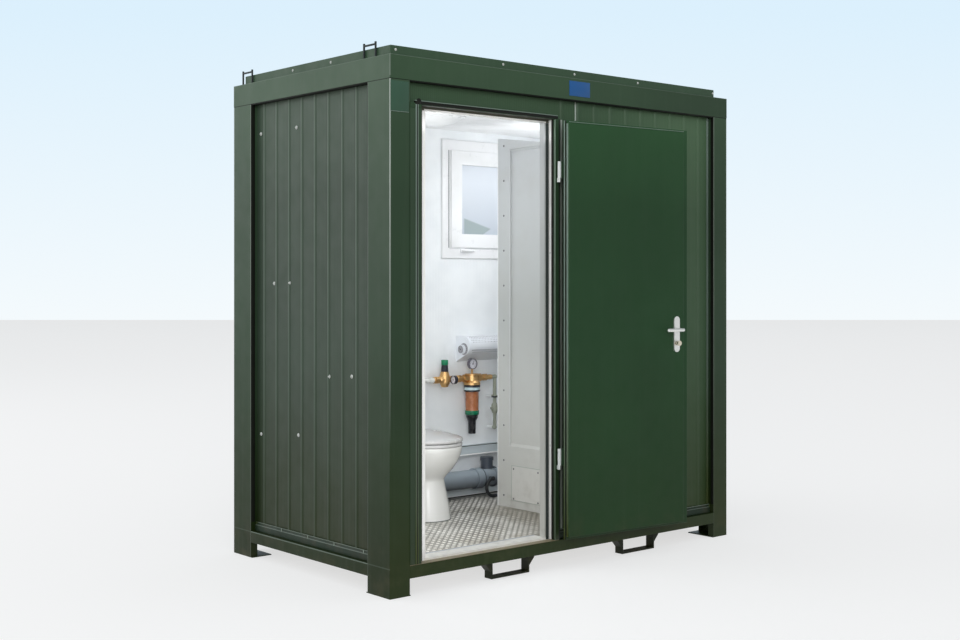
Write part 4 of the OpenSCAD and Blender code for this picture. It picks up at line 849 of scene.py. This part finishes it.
def frameSeams():
    t = seams["seal"]
    dark = []
    for s in (-1, 1):
        a, b = sorted((s * 1199, s * 1161))
        dark.append((a, b, -525, 525, 2387 - t, 2386.8))
        c, d = sorted((s * 1199, s * 1176))
        dark.append((c, d, 525 - t, 524.8, 189, 2387 - t))
        dark.append((c, d, -524.8, -525 + t, 189, 2387 - t))
    dark.append((-1085, 1085, -699, -661, 2387 - t, 2386.8))
    dark.append((1085 - t, 1084.8, -699, -680, 189, 2387 - t))
    dark.append((-1085, 1085, 661, 699, 2387 - t, 2386.8))
    for s in (-1, 1):
        a, b = sorted((s * 1084.8, s * (1085 - t)))
        dark.append((a, b, 661, 699, 189, 2387 - t))
    # black strips under the roof rails and on the posts' returns: painted shade in the recesses
    bars("recessShadeStrips", dark, sealAndShadeBlack)
    bars("wallEndTrim", [(1066, 1080, -666, -660.5, 189, 2383), (1066, 1080, 660.5, 666, 189, 2383)], edgeGreen)
    bars("panelJointCover", [(19, 26, -665, -660, 189, 2384), (-12, -6, 660, 665, 189, 2384)], beadPale)
    bars("besideDoorTrim", [(-86, -76, -668, -660.5, 189, 2284)], trimPale)
    bars("cornerPlate", [(-1197, -1092, -702, -699.8, 2239, 2378), (-1190, -1099, -702.6, -701.5, 2246, 2371)],
         plateGreen)
    bars("cornerPlateEdge", [(-1197, -1092, -702.4, -699.8, 2236, 2239)], edgeGreen)
    bars("blankPlate", [(-57, 91, -701.6, -699.8, 2407.5, 2484.5), (-52, 86, -702.0, -701.2, 2412, 2480)],
         blankBlue)


frameSeams()

forkLoops = {"middle": 0.460, "half": 0.125, "strap": 0.0078, "flare": 0.036, "low": 0.040, "top": 0.0795}


def loopGussets():  # flared tops of the fork loops
    bm = bmesh.new()
    top = forkLoops["top"]
    for centre in (-forkLoops["middle"], forkLoops["middle"]):
        for way in (-1, 1):
            outer = centre + way * forkLoops["half"]
            inner = outer - way * forkLoops["strap"]
            flared = outer + way * forkLoops["flare"]
            outline = [(inner, 0.050), (outer, forkLoops["low"]), (flared, top), (inner, top)]
            for near, far in ((-0.6997, -0.6483), (0.6483, 0.6997)):
                loft(bm, [[Vector((x, y, z)) for x, z in outline] for y in (near, far)])
    bmesh.ops.recalc_face_normals(bm, faces=bm.faces)
    addPiece("loopGussets", bm, loopPaint)


loopGussets()

doorway = {"strip": 15.5}  # height of the black strip over the door, painted shade, mm


def doorFrame():
    bars("lockSideBead", [(-1054.5, -1046.5, -704.8, -702.6, 142, 2279),
                          (-1040.5, -1036.5, -704.2, -702.6, 142, 2279)], edgeGreen)
    bars("lockSideGroove", [(-1046.5, -1040.5, -703.5, -702.8, 142, 2279)], sealAndShadeBlack, soft=0.2)
    # black strip with a lump at its left end: painted shade under the panel above the door
    bm = bmesh.new()
    slab(bm, (-1055, -140, -704, -690, 2279, 2279 + doorway["strip"]), 1.5)
    lump = [(0.0, -0.006), (0.011, -0.004), (0.015, 0.0), (0.011, 0.004), (0.0, 0.006)]
    lying = Matrix.Rotation(math.radians(90), 4, "X")
    turned(bm, lump, Matrix.Translation((-1.033, -0.701, 2.293)) @ lying, 20)
    addPiece("headShadeStrip", bm, sealAndShadeBlack)
    # painted highlight along the lower edge of the panel above the door
    bars("headBead", [(-1055, -140, -702.5, -690, 2294.5, 2298.5)], edgeGreen)
    bars("revealEdge", [(-969, -960, -656, -620, 153, 2261), (-969, -182, -658.6, -656.8, 2261.2, 2268.4)],
         liningWhite)
    bars("headUnderLine", [(-969, -182, -657.4, -655.5, 2259.8, 2261.0)], gasketGrey, soft=0.3)
    bars("revealHinge", [(-190, -181.8, -656.5, -620, 153, 2261)], revealGrey)
    # black strip in the gap beside the hinge-side jamb: painted shade
    bars("jambGapShade", [(-134, -126, -702, -690, 142, 2279)], sealAndShadeBlack)
    bars("rebateSeal", [(-162.5, -158.8, -674.5, -657.2, 143, 2276)], liningWhite)
    bars("rebateSealLine", [(-160.5, -158.9, -690.5, -675.0, 143, 2276)], sealAndShadeBlack, soft=0.3)
    # painted highlights along the leaf's hinge-side edges
    edges = [(-165.6, -164.7, -704, -694.5, 150, 2269), (-168.6, -167.6, -686.5, -672.0, 166, 2253)]
    bars("leafEdgeLight", edges, edgeGreen, "door", 0.3, doorTurn)
    # painted highlight along the top edge of the leaf's core
    bars("leafTopHighlight", [(-963, -168, -665.5, -662.7, 2258.6, 2261.3)], edgeGreen, "door", 0.5, doorTurn)
    # dark red-brown disc round the thumb-turn
    bm = bmesh.new()
    place = Matrix.Translation((-0.905, -0.6552, 1.124)) @ Matrix.Rotation(math.radians(-90), 4, "X")
    turned(bm, [(0.0105, 0.0), (0.0105, 0.0006), (0.009, 0.0009)], place, 24)
    bm.transform(doorTurn)
    addPiece("turnRecess", bm, darkRedBrown, "door")
    bars("leafEdgeDark", [(-167.9, -164.9, -693.5, -687.5, 150, 2269)], sealAndShadeBlack, "door", 0.3, doorTurn)


doorFrame()
print("seams and door frame done")


def placed(points, facing, mirror=False):  # points with one facing, and the same turned half round
    spots = [Vector(p) for p in points]
    ways = [Vector(facing)] * len(spots)
    if mirror:
        spots += [Vector((-p.x, -p.y, p.z)) for p in spots]
        ways += [Vector((-facing[0], -facing[1], facing[2]))] * len(points)
    return spots, ways


fasteners = {  # radius, height and washer radius in m
    "wallBolts": (0.0065, 0.006, 0.0095),
    "roofScrews": (0.0045, 0.004, 0.0065),
    "panelScrews": (0.0045, 0.0016, 0.006),
    "coverScrews": (0.004, 0.0016, 0.0055),
    "frameScrews": (0.005, 0.003, 0.006),
}


def screws(name, finish, spots, ways):
    radius, height, washer = fasteners[name]
    grow(name, heads, {"radius": radius, "height": height, "washer": washer, "finish": finish}, spots, ways)


def setFasteners():
    boltSpots = ((0.486, 2.230), (0.144, 2.235), (0.355, 1.444), (0.209, 1.447), (-0.151, 0.989),
                 (-0.343, 1.000), (0.483, 0.652), (0.125, 0.678))
    screws("wallBolts", screwWhite, *placed([(-1.1615, y, z) for y, z in boltSpots], (-1, 0, 0), True))
    spots, ways = placed([(x, -0.6888, 2.522) for x in (-1.159, -0.499, -0.009, 0.468, 1.09)], (0, -1, 0))
    more, facing = placed([(-1.1888, y, 2.520) for y in (0.135, -0.204)], (-1, 0, 0))
    screws("roofScrews", screwWhite, spots + more, ways + facing)
    heights = [2.237 - 0.202 * i for i in range(11)]
    screws("panelScrews", screwDark, *placed([(0.2795, 0.187, z) for z in heights], (-1, 0, 0)))
    rows = [(0.2755, y, z) for z in (0.377, 0.206) for y in (0.098, -0.107, -0.312, -0.485)]
    screws("coverScrews", screwDark, *placed(rows, (-1, 0, 0)))
    screws("frameScrews", screwWhite, *placed([(-0.1625, -0.668, z) for z in (1.60, 0.62)], (-1, 0, 0)))
    clips = []
    for y in (271, 27, -205, -450):
        clips += [(-1170.5, -1168.5, y - 2.5, y + 2.5, 166, 187),
                  (1168.5, 1170.5, -y - 2.5, -y + 2.5, 166, 187)]
    for x in (130, 370, 610, 850):
        clips += [(x - 2.5, x + 2.5, -670.5, -668.5, 166, 187)]
    bars("flashingClips", clips, clipPale, soft=0.4)
    bars("flashingEnds", [(-1171, -1168, 518, 522, 142, 187), (-1171, -1168, 502, 522, 183.5, 187.5),
                          (-1171, -1168, -522, -518, 142, 170), (1079, 1084, -672, -668, 142, 186)], edgeGreen,
         soft=0.5)


setFasteners()

treadPlan = {"cell": 0.028, "long": 0.024, "wide": 0.0046, "tall": 0.0014, "count": 97, "halfX": 1.10,
             "halfY": 0.56}
grow("treadBars", treadTree(), dict(treadPlan, finish=barMetalLit))
print("fasteners and tread bars done")


toilet = {  # plan in m, then (scale of the plan, height) from ring to ring
    "x": -0.300,
    "y": 0.2,
    "half": 0.185,
    "front": 0.22,
    "back": 0.26,
    "lidBack": 0.19,
    "sides": 56,
    "pan": [(0.74, 0.150), (0.735, 0.156), (0.685, 0.24), (0.61, 0.31), (0.56, 0.362), (0.565, 0.374),
            (0.63, 0.392), (0.78, 0.424), (0.93, 0.470), (1.01, 0.510), (1.04, 0.535), (1.045, 0.549),
            (1.035, 0.555)],
    "bowl": [(0.80, 0.555), (0.77, 0.545), (0.72, 0.50), (0.55, 0.43), (0.30, 0.40)],
    "seat": [(1.03, 0.5565), (1.05, 0.562), (1.05, 0.569), (1.02, 0.5745), (0.80, 0.5745), (0.76, 0.568),
             (0.77, 0.5575)],
    "lid": [(0.9, 0.578), (1.03, 0.578), (1.06, 0.582), (1.07, 0.589), (1.055, 0.597), (1.0, 0.602),
            (0.8, 0.614), (0.5, 0.629), (0.2, 0.637)],
    "footSeal": [(0.750, 0.1502), (0.752, 0.1525), (0.742, 0.1545)],
}


def eggRing(scale, z, back=toilet["back"]):
    ring = []
    for i in range(toilet["sides"]):
        a = 2 * math.pi * i / toilet["sides"]
        reach = back if math.sin(a) > 0 else toilet["front"]
        side = math.copysign(abs(math.cos(a)) ** 0.9, math.cos(a))
        x = toilet["x"] + toilet["half"] * scale * side
        ring.append(Vector((x, toilet["y"] + reach * scale * math.sin(a), z)))
    return ring


def lofted(name, rings, finish, body="cabin", stands=()):
    bm = bmesh.new()
    loft(bm, rings)
    addPiece(name, bm, finish, body, stands, sharp=55)


def buildToilet():
    lofted("panLofted", [eggRing(s, z) for s, z in toilet["pan"] + toilet["bowl"]], glazeWhite,
           stands=("toilet_pan",))
    bm = bmesh.new()
    loft(bm, [eggRing(s, z, toilet["lidBack"]) for s, z in toilet["seat"]], True)
    for x in (-352, -268):
        slab(bm, (x, x + 20, 388, 424, 557, 590), 4)
    addPiece("seatLofted", bm, lidWhite, stands=("toilet_seat",), sharp=55)
    lofted("lidLofted", [eggRing(s, z, toilet["lidBack"]) for s, z in toilet["lid"]], lidWhite, "lid",
           ("toilet_lid",))
    bars("panRubber", [(-420, -180, 395, 400, 556, 558)], gasketGrey)
    lofted("panFootSeal", [eggRing(s, z) for s, z in toilet["footSeal"]], shadeLine)


buildToilet()

waterLine = {"y": 0.560, "z": 0.870, "reducer": 0.141, "filter": 0.353}


def spun(name, profile, place, finish, sides=36, stands=()):
    bm = bmesh.new()
    turned(bm, profile, place, sides)
    addPiece(name, bm, finish, stands=stands)


def buildWater():
    y, z = waterLine["y"], waterLine["z"]
    up = Matrix.Translation((waterLine["reducer"], y, z))
    along = Matrix.Translation((0, y, z)) @ Matrix.Rotation(math.radians(90), 4, "Y")
    bm = bmesh.new()
    turned(bm, [(0.012, -0.045), (0.020, -0.043), (0.023, -0.034), (0.0285, -0.026), (0.030, -0.010),
                (0.030, 0.024), (0.027, 0.034), (0.024, 0.044), (0.0235, 0.047)], up)
    turned(bm, [(0.017, 0.054), (0.0185, 0.056), (0.0185, 0.062), (0.0155, 0.064), (0.0155, 0.068),
                (0.020, 0.070), (0.020, 0.092), (0.017, 0.094), (0.0165, 0.100), (0.022, 0.106), (0.024, 0.118),
                (0.024, 0.160), (0.022, 0.172), (0.0165, 0.178), (0.016, 0.190), (0.020, 0.192), (0.020, 0.214),
                (0.0165, 0.216), (0.0160, 0.232), (0.021, 0.236), (0.021, 0.262), (0.018, 0.266),
                (0.018, 0.283)], along, 24)
    addPiece("reducerBody", bm, castBrass, stands=("pressure_reducer",))
    ribs = []
    for i in range(9):
        h = 0.0475 + i * 0.0044
        outer, inner = 0.0222 - i * 0.0003, 0.0210 - i * 0.0003
        ribs += [(outer, h), (outer, h + 0.003), (inner, h + 0.0036)]
    spun("reducerBonnet", ribs, up, bonnetBlack)
    cap = [(0.0196, 0.0875), (0.0205, 0.089), (0.0205, 0.114), (0.019, 0.117), (0.0, 0.118)]
    spun("reducerCap", cap, up, capGreen)
    cup = [(0.018, 0.534), (0.0225, 0.536), (0.0225, 0.560), (0.0235, 0.562), (0.0235, 0.606), (0.0250, 0.613),
           (0.034, 0.630), (0.037, 0.647), (0.0415, 0.650), (0.0425, 0.652), (0.0425, 0.673), (0.0405, 0.675),
           (0.0390, 0.678), (0.0395, 0.700), (0.0400, 0.750), (0.0405, 0.786), (0.044, 0.788), (0.0495, 0.790),
           (0.0495, 0.799), (0.0470, 0.8005), (0.0470, 0.8145), (0.0495, 0.816), (0.0495, 0.827),
           (0.046, 0.830)]
    place = Matrix.Translation((waterLine["filter"], y, 0))
    spun("filterCupBanded", cup, place, filterBands, 40, ("filter_cup",))


buildWater()


def dial(name, centre, facing, radius, reading, finish=dialWhite):  # face, ticks and pointer
    out = Vector(facing)
    across = Vector((0, 0, 1)).cross(out)
    place = Matrix((tuple(across) + (0,), (0, 0, 1, 0), tuple(out) + (0,), (0, 0, 0, 1))).transposed()
    place = Matrix.Translation(centre) @ place
    spun(name + "Face", [(radius, 0.0), (radius * 0.995, 0.0006), (radius * 0.97, 0.0008)], place, finish, 40)
    bm = bmesh.new()
    marks = [(math.radians(225 - 27 * i), 0.70, 0.92, 0.022 if i % 2 else 0.035) for i in range(11)]
    marks.append((math.radians(reading), -0.2, 0.72, 0.055))
    for angle, start, end, width in marks:
        way = Vector((math.cos(angle), math.sin(angle), 0))
        side = Vector((-way.y, way.x, 0)) * width * radius
        inner, outer = way * start * radius, way * end * radius
        corners = [inner - side, outer - side * 0.6, outer + side * 0.6, inner + side]
        low = [bm.verts.new(place @ (c + Vector((0, 0, 0.0007)))) for c in corners]
        high = [bm.verts.new(place @ (c + Vector((0, 0, 0.0013)))) for c in corners]
        bm.faces.new(high)
        for i in range(4):
            j = (i + 1) % 4
            bm.faces.new((low[i], low[j], high[j], high[i]))
    turned(bm, [(0.14 * radius, 0.0007), (0.14 * radius, 0.0022), (0.08 * radius, 0.0028)], place, 16)
    addPiece(name + "Marks", bm, gaugeBlack)


dial("filterDial", (0.353, 0.5515, 0.955), (0, -1, 0), 0.0275, 70)
dial("reducerDial", (0.170, 0.514, 0.870), (-1, 0, 0), 0.0215, 110)

heaterTrim = {
    "rows": 6,
    "step": 0.012,
    "hole": 0.0028,
    "start": 0.304,
    "end": 0.70,
    "axis": (0, 0.546, 1.0672),  # middle of the round top
    "reach": 0.0538,
}


def buildHeaterTrim():
    spots, ways = [], []
    centre = Vector(heaterTrim["axis"])
    for row in range(heaterTrim["rows"]):
        angle = math.radians(92 + 13 * row)
        out = Vector((0, math.cos(angle), math.sin(angle)))
        for i in range(33):
            x = heaterTrim["start"] + heaterTrim["step"] * (i + 0.5 * (row % 2))
            if x < heaterTrim["end"]:
                spots.append(centre + out * heaterTrim["reach"] + Vector((x, 0, 0)))
                ways.append(out)
    hole = heaterTrim["hole"]
    values = {"radius": hole * 0.7, "height": 0.0006, "washer": hole, "finish": gasketGrey}
    grow("heaterHoles", heads, values, spots, ways)
    bars("heaterLip", [(294, 710, 488.4, 491.5, 1040, 1044), (294, 710, 489.2, 492, 1028, 1030)], gasketGrey,
         soft=0.6)
    dial("heaterDialPlate", (0.2765, 0.5445, 1.0475), (-1, 0, 0), 0.036, 140, dialGrey)
    dial("heaterDialRing", (0.2585, 0.555, 1.0455), (-1, 0, 0), 0.0235, 140, dialGrey)


buildHeaterTrim()


def buildWindowTrim():
    # grey line in the gap beside the sash: painted shade
    bars("sashGapShade", [(209, 213.5, 605.5, 608.4, 1655, 2241)], gapShadeDark, soft=0.8)
    # pale grey line under the sash: painted shade
    bars("sashFoot", [(217, 751, 606.2, 608.4, 1648, 1655)], paleGapShade, soft=0.8)
    gaps = [(160.5, 163.2, 617, 620.2, 1589, 2307), (815, 817.5, 617, 620.2, 1589, 2307),
            (163, 815, 617, 620.2, 1588.5, 1591)]
    bars("frameShadowGap", gaps, paleGapShade, soft=0.4)
    bars("trunkingLines", [(-80, 1118, 578, 582, 456, 461)], shadeLine, soft=0.8)
    bars("trunkingLip", [(-80, 1118, 576.5, 581, 402, 410)], boardPaint, soft=1.5)
    bars("skirtingSeal", [(-80, 1118, 606, 614.5, 150.2, 155)], sealAndShadeBlack, soft=0.8)
    bars("skirtingLip", [(-80, 1118, 612.5, 614.8, 156, 160), (-80, 1118, 612.5, 614.8, 196, 199.5)],
         windowWhite, soft=0.6)
    bars("dropClips", [(519, 549, 545, 574, 742, 752)], gaugeBlack, soft=1.5)


buildWindowTrim()


def buildPanelTrim():
    edges = [(275.2, 280.5, -501, 116, 394, 396.5), (275.2, 280.5, -501, 116, 195.5, 198),
             (275.2, 280.5, 114, 116.5, 197, 395)]
    bars("coverEdge", edges, trimPale, soft=0.5)
    # painted highlight on the panel's rounded far edge
    bars("panelEdgeHighlight", [(278.4, 282.5, 237, 241.2, 152, 2282)], boardPaint, soft=1.0)
    # painted highlight along the field's side fold
    bars("panelFieldHighlight", [(278.6, 281, 132, 136, 505, 2216)], foldHighlightGrey, soft=1.0)
    # painted highlights along the field's top folds
    bm = bmesh.new()
    for y0, z0, y1, z1 in ((0.135, 2.214, -0.10, 2.228), (0.135, 2.205, -0.10, 2.212)):
        ends = [(Vector((0.2786, y, z)), Vector((0.2808, y, z))) for y, z in ((y0, z0), (y1, z1))]
        half = Vector((0, 0, 0.002))
        loft(bm, [[a - half, b - half, b + half, a + half] for a, b in ends])
    bmesh.ops.recalc_face_normals(bm, faces=bm.faces)
    addPiece("panelFoldHighlights", bm, foldHighlightGrey)


buildPanelTrim()
print("inside done")

setCamera()
setStage()
setLights()
print("studio set")
